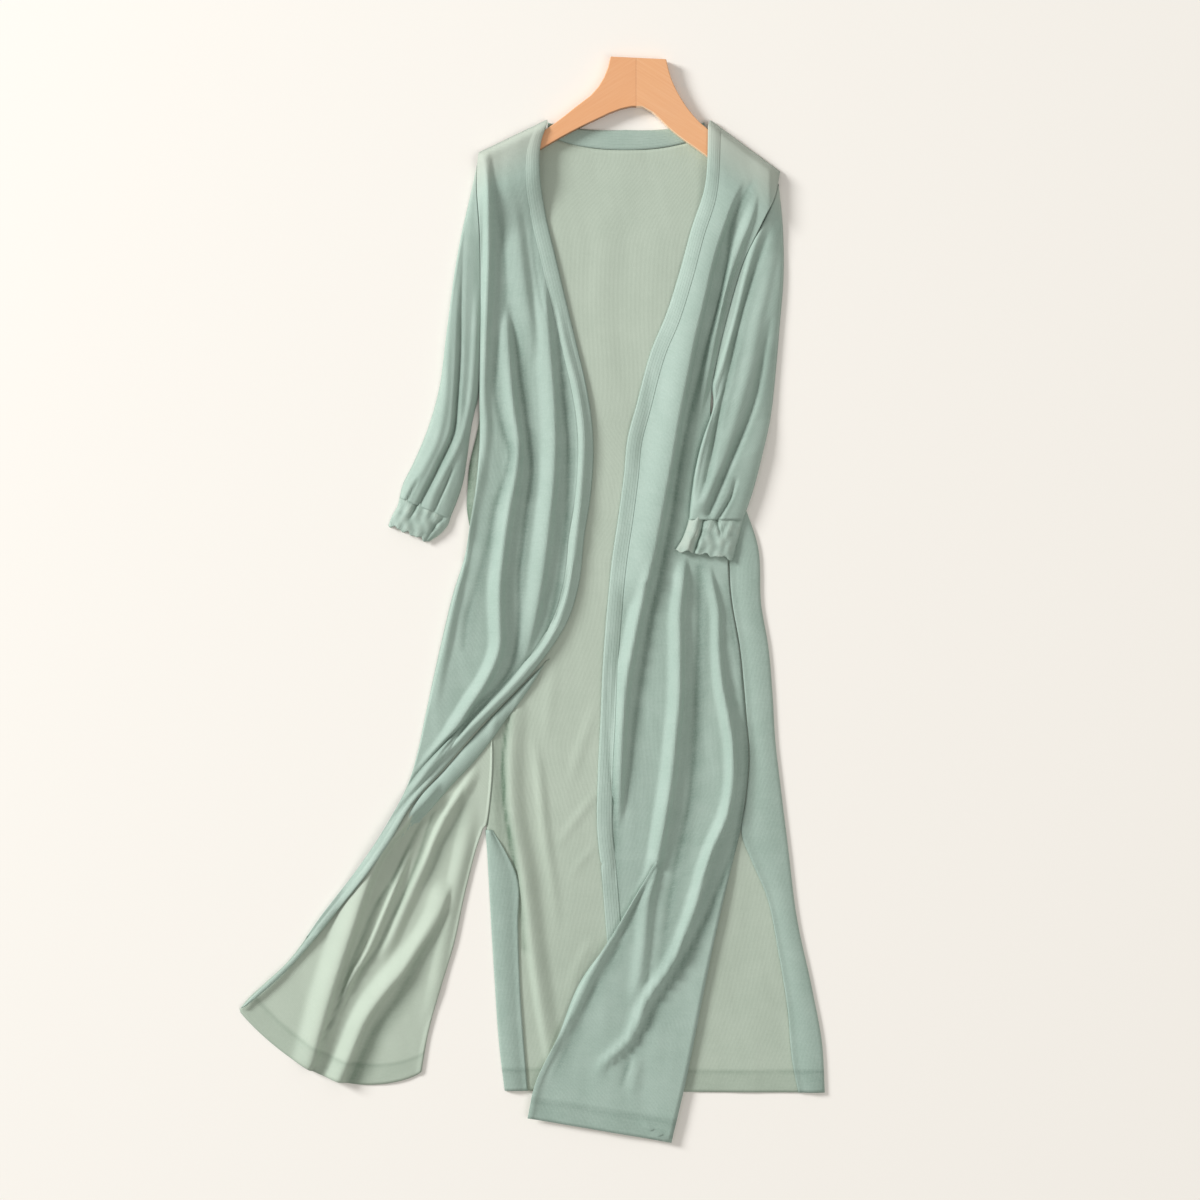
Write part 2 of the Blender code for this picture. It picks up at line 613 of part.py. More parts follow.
def clear_scene():
    for obj in list(bpy.data.objects):
        bpy.data.objects.remove(obj)
    bpy.context.scene.collection.children.link(bpy.data.collections.new("cardigan"))


clear_scene()
make_back()
make_front_left()
make_front_right()
make_neck_band()
make_sleeve("sleeve_left", SLEEVE_LEFT, SLEEVE_LEFT_FOLDS, LEFT_SIDE[:6], -1)
make_sleeve("sleeve_right", SLEEVE_RIGHT, SLEEVE_RIGHT_FOLDS, RIGHT_SEAM[:8], 1)
make_cuff("cuff_left", CUFF_LEFT, -1)
make_cuff("cuff_right", CUFF_RIGHT, 1)
make_hanger()
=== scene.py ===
"""Looks of the long open-front knitted cardigan that lies flat on the ground, on its wooden hanger.

Tables are in millimetres and the meshes in metres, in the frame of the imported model: the collar
points to +Y, the hem to -Y, and +Z is up. Left and right are as seen from above.
"""

import math
from collections import namedtuple

import bpy
import numpy as np
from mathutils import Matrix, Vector


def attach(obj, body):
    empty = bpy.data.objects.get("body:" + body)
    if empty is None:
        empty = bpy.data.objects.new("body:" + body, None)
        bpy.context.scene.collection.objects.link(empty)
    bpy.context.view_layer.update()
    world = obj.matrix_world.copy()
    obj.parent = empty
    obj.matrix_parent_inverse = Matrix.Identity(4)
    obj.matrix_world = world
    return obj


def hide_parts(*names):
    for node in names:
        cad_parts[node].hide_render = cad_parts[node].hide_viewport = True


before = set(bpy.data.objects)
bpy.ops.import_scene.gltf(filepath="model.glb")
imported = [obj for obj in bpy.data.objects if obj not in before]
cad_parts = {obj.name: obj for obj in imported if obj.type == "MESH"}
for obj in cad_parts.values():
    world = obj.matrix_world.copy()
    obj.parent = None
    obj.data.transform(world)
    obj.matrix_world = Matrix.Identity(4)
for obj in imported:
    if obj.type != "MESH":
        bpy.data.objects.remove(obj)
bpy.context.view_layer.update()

MM = 0.001

# Heights of the layers' middle surfaces and the cloth's thickness, as in the solids.
CLOTH = 0.9
BAND_CLOTH = 1.3
BACK_MID = 0.6
FRONT_MID = 2.6
OVER_BODY_MID = 4.8
OVER_BODY = (OVER_BODY_MID, OVER_BODY_MID)
TURN_RADIUS = 1.0
CLEAR_OF_CLOTH = 1.9

# The neck opening and the bands, how far the seams lap, the bulge under the arm, and the hem.
BACK_NECK_HALF = 98
BACK_NECK_DEPTH = 30
NECK_POINT_Y = 547
NECK_FADE = 110
BAND_WIDTH = 17
BAND_LAP = 0.9
SEAM_LAP = 2.6
UNDER_ARM_REACH = 15
TURN_CLEAR = 2.4
NECK_BAND_WIDTH = 23
NECK_BAND_HALF = 90
HEM_WIDTH = 24
TURNED_CROWN = 1.6

# Steps across the band from its seam to its outer edge, where that edge turns dark, how far each
# of its first rows draws in at the neck, and how proud it lies where it covers the turned front.
BAND_STEPS = np.array([0, 0.06, 0.14, 0.28, 0.45, 0.62, 0.76, 0.87, 0.94, 0.98, 1])
BAND_EDGE_SHADE = 0.5
BAND_EDGE_START = 0.97
CORNER_ROUND = np.array([[0.24], [0.1], [0.03]])
BAND_PROUD = 0.9

# The left front: its length, the least panel beside its band, how its side edge sinks to the
# turned part, and the form of that part, of the layers' meeting and of the second roll.
LEFT_LENGTH = 1050
LEAST_PANEL = 3
SIDE_SINKS_ABOVE = 34
SIDE_SINKS_OVER = 60
LEFT_HEM_SAG = 44
SAG_ROUND = 0.8
SEAM_PACE = 0.92
REST_GAP = 1.0
MEETING_ROUND = 1.0
ROLL_HEIGHT = 3.4
ROLL_DIVE = 2.2

# The right front: its length, the flap's rows, how far the flap lies above the tongue, and the
# band above the front.
RIGHT_LENGTH = 900
FLAP_ROWS = 86
FLAP_LIFT = 1.9
BAND_LIFT = 0.15

# The sleeves and cuffs: the least height between a tube's faces, the frill of a gathered one, and
# the gap to the front at the armhole.
TUBE_LEAST = 1.9
FRILL = 1.3
SLEEVE_GAP = 0.6

# How far the right front is pressed flat beyond the sleeve over it, and over what distance it
# rises again: at the sleeve's edge, above the wrist and below the shoulder.
PRESS_EAST, PRESS_EAST_OVER = 5, 7
PRESS_WRIST, PRESS_WRIST_OVER = 6, 8
PRESS_SHOULDER, PRESS_SHOULDER_OVER = 14, 14

# Where the back bulges out under the left arm: from the top down, and the fades at both ends.
UNDER_ARM_TOP, UNDER_ARM_TOP_FADE = 232, 90
UNDER_ARM_BOTTOM, UNDER_ARM_BOTTOM_FADE = 46, 70

# The open left side seam on the back and the crease beside it, between which the back gets painted
# shade, and the right cuff's pale corner.
OPEN_SEAM_X = (-158, -156, -158, -162, -162)
OPEN_SEAM_DOWN = (120, 168, 241, 276, 300)
SEAM_FOLD_X = (-136, -141, -139, -133, -130)
SEAM_FOLD_DOWN = (120, 179, 241, 276, 300)
CUFF_CORNER_X = (76, 81, 87, 90)
CUFF_CORNER_Y = (51, 66, 84, 100)

# Tones: see Sheet.add.
SHEER_TONE = 0.75
SHEER_START = 6
SHEER_FADE = 46
HEM_SHADE = 0.16
STITCH_SHADE = 0.34
TURNED_SHADE = 0.08

# Small unevenness of each layer: how high, and where its waves start.
INSIDE_RIPPLE = (1.2, 0.4)
FRONT_LEFT_RIPPLE = (2.4, 1.1)
FRONT_RIGHT_RIPPLE = (2.4, 2.3)
BACK_RIPPLE = (0.9, 3.1)

# The wooden hanger's joint, and how it lifts the cloth over it.
JOINT_X = 11.5
HANGER_LIFT = 10.8
LIFT_RISE = 8
LIFT_HOLD = 46
LIFT_FALL = 62
LIFT_SIDE_START = 163
LIFT_SIDE_FALL = 12
LIFT_SIDE_DROP = 0.65

# The knit: a column of stitches, a course as a share of it, and the rib's ridges.
WALE = 1.5
COURSE_SHARE = 0.72
RIB_SPACING = 3.0

# Mesh resolution of the cloth.
ROW_STEP = 4
LINE_STEPS = 150
LEFT_STEPS = 44
INSIDE_STEPS = 68
BACK_STEPS = (24, 60, 30)
RIGHT_STEPS = (26, 30)
TURNED_STEPS = 15
NECK_BAND_STEPS = (61, 8)
SLEEVE_STEPS = 34
SLEEVE_STEP = 3.6
CUFF_STEPS = 56
CUFF_STEP = 1.6

# The camera, straight above: metres across the picture, its middle, and the camera's height.
IMAGE_ACROSS = 1.38
IMAGE_MIDDLE_X = -0.0299
CAMERA_HEIGHT = 3.4
SENSOR = 36

Fold = namedtuple("Fold", "west east path")
Crease = namedtuple("Crease", "width path")
Ring = namedtuple("Ring", "outer inner height outer_floor inner_floor", defaults=(BACK_MID,) * 2)

# Outlines, from the shoulder down, as (x, y).
LEFT_SIDE = (
    (-169, 514), (-171, 489), (-168, 425), (-167, 345), (-168, 230), (-168, 181),
    (-172, 133), (-178, 92), (-186, 46), (-197, 12), (-209, -36), (-220, -85),
    (-230, -132), (-238, -170), (-246, -200), (-277, -262), (-307, -307), (-347, -359),
    (-392, -419), (-417, -442), (-435, -459), (-444, -470),
)
LEFT_EDGE = (
    (-87, 553), (-97, 528), (-99, 486), (-94, 450), (-80, 389), (-57, 293), (-46, 246),
    (-39, 200), (-38, 160), (-41, 120), (-48, 75), (-55, 16), (-67, -23), (-85, -53),
    (-108, -83), (-168, -145), (-209, -192), (-246, -234), (-270, -275), (-292, -307),
    (-328, -352), (-362, -394), (-394, -429), (-422, -454), (-437, -466),
)
LEFT_SEAM = (
    (-181, 46), (-175, -23), (-164, -103), (-156, -168), (-159, -231), (-162, -254),
    (-172, -286), (-185, -337), (-198, -397), (-213, -446), (-228, -501), (-235, -542),
)
ROLL_UPPER = (
    (-88, -68), (-104, -84), (-126, -106), (-166, -147), (-207, -194), (-246, -238),
    (-266, -276),
)
ROLL_LOWER = (
    (-92, -70), (-106, -93), (-123, -118), (-135, -133), (-155, -161), (-176, -187), (-197, -209),
    (-217, -232), (-236, -256), (-248, -282),
)
RIGHT_EDGE = (
    (94, 553), (94, 528), (90, 471), (76, 428), (62, 377), (45, 324), (31, 291), (12, 223),
    (2, 185), (-2, 145), (-8, 99), (-15, 52), (-22, -16), (-26, -69), (-29, -139),
    (-32, -200), (-32, -276), (-29, -300),
)
RIGHT_CREASE = (
    (140, 519), (121, 430), (107, 360), (93, 305), (82, 239), (74, 169), (69, 103),
    (66, 46), (63, -36), (57, -118), (52, -200), (44, -262), (36, -297),
)
RIGHT_SEAM = (
    (177, 492), (171, 464), (156, 432), (137, 393), (120, 339), (107, 288), (98, 239),
    (97, 215), (102, 184), (110, 115), (116, 57), (120, 5), (130, -56), (138, -139),
    (141, -179), (137, -230), (131, -268),
)
FLAP_FOLD = ((36, -297), (-24, -397), (-52, -438), (-79, -503), (-105, -558), (-113, -595))
FLAP_SLIT = ((131, -268), (118, -319), (99, -402), (85, -471), (71, -542), (52, -623))
TONGUE_EDGE = ((-29, -300), (-23, -374), (-17, -450), (-12, -550))
TONGUE_HIDDEN = ((36, -297), (33, -374), (32, -450), (32, -545))
BACK_LEFT = (
    (-169, 512), (-170, 489), (-167, 425), (-166, 345), (-167, 247), (-165, 181),
    (-168, 115), (-174, 50), (-172, -23), (-163, -103), (-155, -168), (-158, -231),
    (-160, -258), (-158, -291), (-155, -346), (-150, -430), (-144, -514), (-138, -564),
)
BACK_RIGHT = (
    (177, 490), *RIGHT_SEAM[1:7],
    (99, 201), (116, 155), (134, 110), (150, 62), (154, -6), (162, -53), (167, -110),
    (170, -160), (177, -221), (185, -286), (195, -366), (212, -445), (224, -511),
    (227, -566),
)
BACK_LEFT_THIRD = ((-BACK_NECK_HALF, 512), (-94, 200), (-80, -100), (-62, -564))
BACK_RIGHT_THIRD = ((BACK_NECK_HALF, 490), (70, 200), (92, -100), (130, -566))
LEFT_TURNED_EDGE = (
    (-155, -262), (-139, -288), (-125, -319), (-124, -374), (-121, -458), (-116, -528),
    (-113, -564),
)
RIGHT_TURNED_EDGE = (
    *((x + 1, y) for x, y in RIGHT_SEAM[8:16]),
    (133, -270), (143, -297), (161, -339), (175, -405), (185, -466),
    (192, -537), (198, -566),
)
TURN_STARTS_LEFT = -262
TURN_STARTS_RIGHT = 184

# Folds: how far each falls away to the west and to the east of its crest, then the crest from
# the top down, as (x, y, height). Creases: half width, then the line as (x, y, how much of the
# folds' height it takes away).
FRONT_LEFT_FOLDS = (
    Fold(9, 10, ((-160, 505, 3), (-158, 471, 8), (-158, 389, 9), (-160, 332, 9), (-162, 277, 8),
        (-163, 230, 6), (-161, 201, 5), (-163, 169, 4), (-169, 126, 3), (-176, 80, 0))),
    Fold(17, 7, ((-137, 336, 0), (-136, 310, 5), (-133, 263, 8), (-128, 216, 10),
        (-123, 181, 11), (-125, 146, 12), (-132, 110, 12), (-139, 63, 12), (-144, 15, 12),
        (-144, -25, 12), (-144, -52, 12), (-160, -93, 11), (-176, -118, 10), (-194, -145, 8),
        (-215, -176, 6), (-236, -202, 3))),
    Fold(12, 10, ((-164, 184, 0), (-168, 155, 4), (-175, 115, 5), (-184, 69, 6), (-192, 23, 5),
        (-201, -23, 5), (-210, -69, 4), (-218, -115, 2), (-224, -138, 0))),
    Fold(24, 6, ((-95, 379, 0), (-91, 334, 6), (-86, 275, 8), (-82, 228, 9), (-81, 169, 10),
        (-83, 133, 10), (-89, 75, 10), (-95, 29, 9), (-101, -7, 8), (-107, -34, 6),
        (-115, -60, 3), (-124, -78, 0))),
    Fold(10, 7, ((-85, 362, 0), (-76, 322, 3), (-67, 286, 4), (-55, 239, 5), (-49, 192, 6),
        (-51, 133, 6), (-55, 87, 6), (-62, 36, 6), (-70, -5, 6), (-86, -43, 6), (-106, -71, 6),
        (-129, -98, 6), (-160, -129, 6), (-191, -159, 6), (-212, -179, 6), (-238, -208, 5),
        (-256, -229, 4), (-300, -288, 3), (-352, -356, 3), (-409, -428, 2))),
    Fold(26, 14, ((-131, 471, 0), (-124, 414, 5), (-117, 356, 6), (-110, 310, 5), (-106, 264, 0))),
)
FRONT_LEFT_CREASES = (
    Crease(7, ((-154, 488, 0.1), (-147, 444, 0.4), (-141, 402, 0.5), (-139, 356, 0.5),
        (-145, 316, 0.6), (-148, 286, 0.8), (-150, 239, 0.9), (-140, 192, 1), (-133, 169, 1),
        (-137, 146, 1), (-150, 110, 0.95), (-159, 63, 0.95), (-172, 16, 0.9), (-183, -23, 0.8),
        (-186, -56, 0.4))),
    Crease(6, ((-133, 336, 0.5), (-126, 298, 0.9), (-121, 251, 1), (-116, 216, 1),
        (-112, 181, 1), (-109, 146, 1), (-112, 122, 1), (-118, 75, 0.95), (-123, 29, 0.9),
        (-123, -16, 0.9), (-125, -46, 1), (-133, -77, 1), (-150, -102, 0.9), (-168, -118, 0.8),
        (-189, -150, 0.6), (-201, -170, 0.3))),
    Crease(6, ((-82, 345, 0.5), (-76, 286, 0.8), (-72, 228, 0.9), (-67, 181, 0.9),
        (-67, 133, 0.9), (-69, 87, 0.9), (-75, 40, 0.9), (-83, -7, 0.9), (-94, -43, 0.9),
        (-108, -67, 0.7))),
    Crease(4, ((-110, 500, 0.1), (-109, 444, 0.35), (-103, 379, 0.35), (-95, 334, 0.2))),
    Crease(3, ((-62, 60, 0.3), (-74, 0, 0.8), (-92, -44, 0.9), (-118, -72, 1), (-150, -106, 1),
        (-182, -138, 1), (-214, -170, 0.9), (-243, -203, 0.8), (-262, -232, 0.7))),
)
LEFT_INSIDE_FOLDS = (
    Fold(30, 8, ((-213, -205, 0), (-225, -225, 8), (-243, -244, 11), (-259, -262, 12),
        (-283, -294, 13), (-298, -331, 13), (-313, -376, 13), (-328, -421, 13), (-343, -469, 12),
        (-360, -531, 10))),
    Fold(7, 6, ((-248, -288, 2), (-264, -327, 6), (-281, -368, 7), (-298, -406, 7),
        (-317, -437, 7), (-332, -471, 6), (-343, -499, 3), (-350, -513, 0))),
    Fold(8, 12, ((-168, -190, 0), (-187, -218, 5), (-205, -244, 7), (-218, -270, 7),
        (-229, -297, 7), (-243, -328, 6), (-258, -362, 5), (-274, -397, 3), (-286, -416, 0))),
    Fold(24, 8, ((-200, -322, 0), (-206, -337, 6), (-217, -369, 9), (-243, -412, 11),
        (-273, -446, 12), (-298, -481, 12), (-317, -526, 12), (-328, -552, 12))),
    Fold(16, 14, ((-175, -230, 0), (-186, -288, 4), (-197, -334, 4), (-207, -385, 3),
        (-218, -443, 3), (-230, -494, 0))),
)
LEFT_INSIDE_CREASES = (
    Crease(4, ((-236, -255, 0.5), (-250, -282, 0.8), (-268, -320, 0.9), (-288, -351, 0.9),
        (-302, -385, 0.9), (-317, -421, 0.9), (-332, -469, 0.8), (-345, -499, 0.6),
        (-350, -515, 0.1))),
    Crease(4, ((-223, -247, 0.6), (-240, -299, 0.9), (-255, -337, 0.9), (-270, -367, 0.9),
        (-288, -404, 0.8), (-305, -427, 0.6), (-317, -454, 0.2))),
    Crease(8, ((-185, -214, 0.1), (-193, -250, 0.6), (-213, -282, 0.6), (-225, -314, 0.5),
        (-237, -334, 0.1))),
    Crease(10, ((-208, -361, 0.3), (-232, -400, 0.6), (-263, -457, 0.8), (-288, -493, 0.9),
        (-308, -534, 1), (-316, -552, 1))),
)
FRONT_RIGHT_FOLDS = (
    Fold(46, 7, ((136, 485, 0), (123, 460, 5), (110, 425, 9), (99, 389, 11), (89, 345, 13),
        (78, 299, 14), (71, 263, 15), (62, 216, 15), (52, 158, 15), (41, 99, 14), (32, 52, 13),
        (25, 23, 12))),
    Fold(16, 7, ((34, 63, 0), (25, 23, 12), (16, -16, 12), (8, -56, 12), (2, -87, 11),
        (-3, -139, 10), (-6, -200, 8), (-7, -237, 5), (-8, -264, 0))),
    Fold(9, 7, ((30, 276, 0), (37, 261, 2), (34, 230, 2.5), (32, 205, 2), (28, 178, 0))),
    Fold(18, 7, ((67, 51, 0), (66, 29, 7), (62, -16, 10), (62, -56, 11), (61, -118, 12),
        (57, -160, 12), (52, -210, 12), (45, -252, 11), (38, -291, 9), (26, -346, 7),
        (21, -402, 6), (15, -444, 4), (7, -471, 0))),
    Fold(14, 5, ((95, 44, 0), (100, 17, 5), (105, -6, 6), (107, -56, 7), (111, -98, 9),
        (117, -129, 11), (123, -169, 12), (123, -210, 12), (116, -248, 12), (99, -288, 12),
        (77, -360, 12), (54, -416, 11), (26, -458, 9), (5, -505, 7), (-24, -534, 5),
        (-34, -552, 0))),
    Fold(14, 6, ((150, 471, 0), (145, 444, 4), (129, 402, 6), (115, 360, 7), (103, 305, 6),
        (92, 250, 5), (80, 195, 0))),
    Fold(7, 10, ((38, -293, 3), (15, -332, 5), (-18, -388, 6), (-40, -427, 6), (-63, -475, 6),
        (-79, -503, 6), (-99, -536, 5), (-112, -589, 4))),
    Fold(12, 8, ((16, -518, 0), (13, -535, 3), (9, -558, 2.5), (8, -581, 0))),
    Fold(5, 3, ((12, -592, 0), (22, -602, 4), (35, -611, 6), (47, -619, 6))),
)
FRONT_RIGHT_CREASES = (
    Crease(6, ((145, 478, 0.3), (131, 455, 0.8), (121, 428, 1), (116, 389, 1), (107, 346, 1),
        (92, 291, 1), (82, 248, 1), (74, 216, 1), (62, 158, 1), (53, 99, 1), (44, 52, 1),
        (38, 23, 1), (31, -6, 1), (22, -56, 0.9), (16, -98, 0.8), (10, -139, 0.7),
        (6, -179, 0.6), (0, -231, 0.3))),
    Crease(5, ((-16, -46, 0.2), (-20, -77, 0.5), (-21, -139, 0.8), (-18, -190, 0.9),
        (-14, -241, 1), (-13, -276, 1), (-13, -332, 0.9), (-16, -385, 0.7))),
    Crease(8, ((83, 38, 0.8), (84, -16, 1), (82, -77, 1), (80, -129, 1), (79, -160, 1),
        (76, -200, 1), (71, -241, 1), (63, -276, 1), (54, -320, 0.9), (46, -374, 0.8),
        (40, -416, 0.4), (33, -443, 0))),
    Crease(7, ((117, 29, 0.3), (123, -36, 0.7), (131, -77, 0.8), (136, -108, 1), (138, -150, 1),
        (140, -190, 1), (135, -231, 1), (126, -279, 1), (108, -327, 1), (85, -379, 1),
        (62, -421, 1), (34, -466, 0.9), (12, -509, 0.8), (-5, -531, 0.3))),
    Crease(7, ((33, -308, 0.6), (8, -358, 0.8), (-22, -423, 0.8), (-41, -455, 0.8),
        (-57, -494, 0.7), (-79, -538, 0.6), (-89, -566, 0.2))),
    Crease(3, ((5, -522, 0.2), (1, -536, 0.9), (-5, -550, 0.8), (-8, -559, 0.1))),
)
BACK_CREASES = (
    Crease(5, ((-135, -132, 0.8), (-141, -179, 1), (-139, -241, 1), (-133, -276, 1),
        (-125, -330, 0.8), (-118, -400, 0.5))),
)
BACK_FOLDS = (
    Fold(7, 22, ((-129, -128, 3), (-133, -179, 5), (-131, -243, 6), (-118, -319, 7),
        (-108, -402, 6), (-98, -470, 5), (-88, -530, 2))),
    Fold(10, 10, ((-106, -150, 0), (-100, -200, 2.4), (-94, -262, 2.6), (-84, -330, 1.6),
        (-76, -400, 0))),
    Fold(14, 7, ((-150, -120, 1.5), (-152, -180, 2), (-150, -240, 2), (-146, -285, 1))),
    Fold(24, 26, ((-30, 471, 0), (-25, 414, 0.8), (-30, 345, 0.9), (-23, 276, 0.8),
        (-25, 195, 0))),
    Fold(9, 10, ((-23, -209, 0), (-40, -230, 1.2), (-66, -264, 1.2), (-80, -288, 0))),
    Fold(7, 9, ((-30, -276, 0), (-41, -288, 1), (-57, -308, 1), (-69, -334, 0))),
    Fold(12, 14, ((-32, -103, 0), (-41, -138, 1), (-57, -184, 1.2), (-69, -230, 0))),
    Fold(12, 16, ((-80, -46, 0), (-85, -92, 1.2), (-90, -138, 1.3), (-92, -184, 0))),
    Fold(10, 12, ((-30, -379, 0), (-46, -402, 1), (-60, -431, 1), (-69, -460, 0))),
)
SLEEVE_LEFT_FOLDS = (
    Fold(9, 9, ((-170, 379, 0), (-172, 334, 4), (-175, 275, 5), (-179, 228, 6), (-189, 185, 7),
        (-208, 146, 8), (-220, 122, 7), (-229, 99, 5))),
    Fold(12, 9, ((-184, 460, 0), (-193, 402, 3), (-200, 345, 4), (-205, 275, 5), (-207, 228, 5),
        (-217, 181, 6), (-232, 150, 6), (-246, 126, 5), (-254, 109, 4))),
    Fold(6, 6, ((-189, 167, 0), (-195, 150, 3), (-202, 132, 4), (-209, 109, 3))),
)
SLEEVE_LEFT_CREASES = (
    Crease(6, ((-186, 425, 0.2), (-189, 345, 0.5), (-191, 275, 0.8), (-194, 228, 0.9),
        (-198, 192, 1), (-213, 158, 1), (-231, 122, 1), (-239, 106, 0.9))),
    Crease(3, ((-200, 150, 0.2), (-207, 132, 0.6), (-214, 117, 0.7), (-221, 101, 0.6))),
    Crease(3, ((-239, 138, 0.2), (-247, 123, 0.6), (-255, 108, 0.7))),
)
SLEEVE_RIGHT_FOLDS = (
    Fold(20, 14, ((172, 454, 0), (171, 430, 3), (162, 368, 5), (152, 322, 6), (143, 275, 7),
        (131, 228, 8), (116, 181, 8), (100, 138, 8), (85, 110, 7), (76, 94, 4))),
    Fold(5, 9, ((172, 454, 0), (152, 419, 4), (138, 374, 5), (129, 334, 5), (112, 275, 5),
        (100, 239, 5), (91, 192, 6), (82, 158, 6), (76, 122, 4))),
    Fold(8, 8, ((133, 150, 0), (124, 126, 4), (116, 106, 5), (110, 92, 4))),
)
SLEEVE_RIGHT_CREASES = (
    Crease(8, ((163, 423, 0.5), (146, 374, 0.9), (131, 322, 1), (118, 263, 1), (107, 216, 1),
        (98, 169, 0.9), (90, 133, 0.6), (84, 115, 0.2))),
    Crease(8, ((166, 322, 0.2), (159, 286, 0.5), (147, 228, 0.7), (129, 181, 0.8),
        (113, 144, 0.8), (95, 99, 0.8))),
    Crease(4, ((126, 138, 0.3), (120, 118, 0.7), (105, 92, 0.8))),
)
SLEEVE_LEFT = (
    Ring((-172, 500), (-170, 246), 3.4),
    Ring((-180, 462), (-171, 238), 5),
    Ring((-188, 425), (-172, 229), 6),
    Ring((-198, 366), (-174, 220), 7),
    Ring((-206, 305), (-177, 204), 8),
    Ring((-215, 240), (-180, 186), 8),
    Ring((-228, 195), (-183, 164), 8),
    Ring((-245, 155), (-188, 134), 8),
    Ring((-257, 130), (-196, 110), 8),
    Ring((-260, 117), (-203, 93), 7),
)
SLEEVE_RIGHT = (
    Ring((179, 478), (100, 243), 3.4),
    Ring((182, 440), (101.5, 232), 5, 0.6, 2.8),
    Ring((182, 405), (101, 222), 6, 0.6, OVER_BODY_MID),
    Ring((180, 360), (97, 208), 7, 0.6, OVER_BODY_MID),
    Ring((176, 312), (91, 192), 8, 0.6, OVER_BODY_MID),
    Ring((171, 255), (85, 172), 8, 0.6, OVER_BODY_MID),
    Ring((166, 212), (80, 150), 8, 1.5, OVER_BODY_MID),
    Ring((155, 162), (76, 124), 8, *OVER_BODY),
    Ring((145, 124), (74, 106), 8, *OVER_BODY),
    Ring((134, 92), (73, 92), 7, *OVER_BODY),
)
CUFF_LEFT = (
    Ring((-259, 120), (-201.5, 97), 4.6, 0.8, 0.8),
    Ring((-262, 108), (-205, 87), 6.4, 0.8, 0.8),
    Ring((-268, 97), (-213, 77), 6.4, 0.8, 0.8),
    Ring((-272, 86), (-227, 67), 5.4, 0.8, 0.8),
)
CUFF_RIGHT = (
    Ring((134.5, 95), (73.5, 95), 4.6, *OVER_BODY),
    Ring((131, 82), (70, 83), 6.4, *OVER_BODY),
    Ring((127, 66), (65, 70), 6.4, *OVER_BODY),
    Ring((122, 47), (57, 57), 5.4, *OVER_BODY),
)
CUFF_LEFT_FOLDS = (
    Fold(9, 9, ((-222, 110, 3), (-228, 96, 4), (-236, 82, 3), (-238, 72, 1))),
    Fold(6, 6, ((-244, 112, 3), (-252, 98, 2), (-258, 86, 0))),
)
CUFF_LEFT_CREASES = (
    Crease(4, ((-239, 112, 0.9), (-243, 103, 0.7), (-249, 92, 0.1))),
    Crease(4, ((-208, 96, 0.4), (-218, 86, 0.6), (-230, 68, 0.5))),
)
CUFF_RIGHT_FOLDS = (
    Fold(10, 5, ((84, 100, 4), (80, 84, 6), (74, 68, 6), (68, 52, 5))),
    Fold(8, 8, ((112, 92, 2), (115, 76, 3), (116, 60, 3), (117, 50, 2))),
)
CUFF_RIGHT_CREASES = (
    Crease(4, ((90, 100, 0.8), (87, 84, 1), (82, 66, 1), (77, 51, 0.9))),
    Crease(3, ((103, 94, 0.8), (106, 84, 0.5), (108, 72, 0.1))),
)

def along(points, fractions):
    """Places on the smooth curve through the points, at these fractions of its length."""
    points = np.asarray(points, float)
    knots = np.r_[0, np.cumsum(np.linalg.norm(np.diff(points[:, :2], axis=0), axis=1))]
    slopes = np.gradient(points, knots, axis=0)
    fine = np.linspace(0, knots[-1], 40 * len(points))
    span = np.clip(np.searchsorted(knots, fine, side="right") - 1, 0, len(points) - 2)
    width = (knots[span + 1] - knots[span])[:, None]
    t = (fine[:, None] - knots[span][:, None]) / width
    curve = (
        (2 * t**3 - 3 * t**2 + 1) * points[span]
        + (t**3 - 2 * t**2 + t) * width * slopes[span]
        + (3 * t**2 - 2 * t**3) * points[span + 1]
        + (t**3 - t**2) * width * slopes[span + 1]
    )
    gone = np.r_[0, np.cumsum(np.linalg.norm(np.diff(curve[:, :2], axis=0), axis=1))]
    wanted = np.asarray(fractions) * gone[-1]
    return np.stack([np.interp(wanted, gone, axis) for axis in curve.T], axis=1)


def at_height(points, heights):
    """Places where a curve that runs down the garment passes these values of y."""
    curve = along(points, np.linspace(0, 1, 400))
    x = np.interp(-np.asarray(heights), -curve[:, 1], curve[:, 0])
    return np.stack([x, heights], axis=1)


def ease(value):
    """A smooth step from 0 to 1."""
    value = np.clip(value, 0, 1)
    return value * value * (3 - 2 * value)


def smooth_max(a, b, width):
    """The higher of two heights, with the step between them rounded."""
    half = np.clip(0.5 + 0.5 * (a - b) / width, 0, 1)
    return b + (a - b) * half + width * half * (1 - half)


def from_line(places, path, reach):
    """For places near a line: which they are, how far east of it each lies, and its value there."""
    line = along(path, np.linspace(0, 1, LINE_STEPS))
    low, high = line[:, :2].min(axis=0) - reach, line[:, :2].max(axis=0) + reach
    near = np.flatnonzero(((places > low) & (places < high)).all(axis=1))
    heading = np.gradient(line[:, :2], axis=0)
    spacing = np.linalg.norm(heading, axis=1)
    heading /= spacing[:, None]
    offset = places[near][:, None] - line[None, :, :2]
    nearest = np.argmin((offset**2).sum(axis=2), axis=1)
    offset = offset[np.arange(len(near)), nearest]
    heading, spacing = heading[nearest], spacing[nearest]
    sideways = heading[:, 0] * offset[:, 1] - heading[:, 1] * offset[:, 0]
    place = nearest + (heading * offset).sum(axis=1) / spacing
    past = spacing * (np.maximum(-place, 0) + np.maximum(place - LINE_STEPS + 1, 0))
    value = np.interp(place, np.arange(LINE_STEPS), line[:, 2])
    return near, np.where(sideways < 0, -1, 1) * np.hypot(sideways, past), value


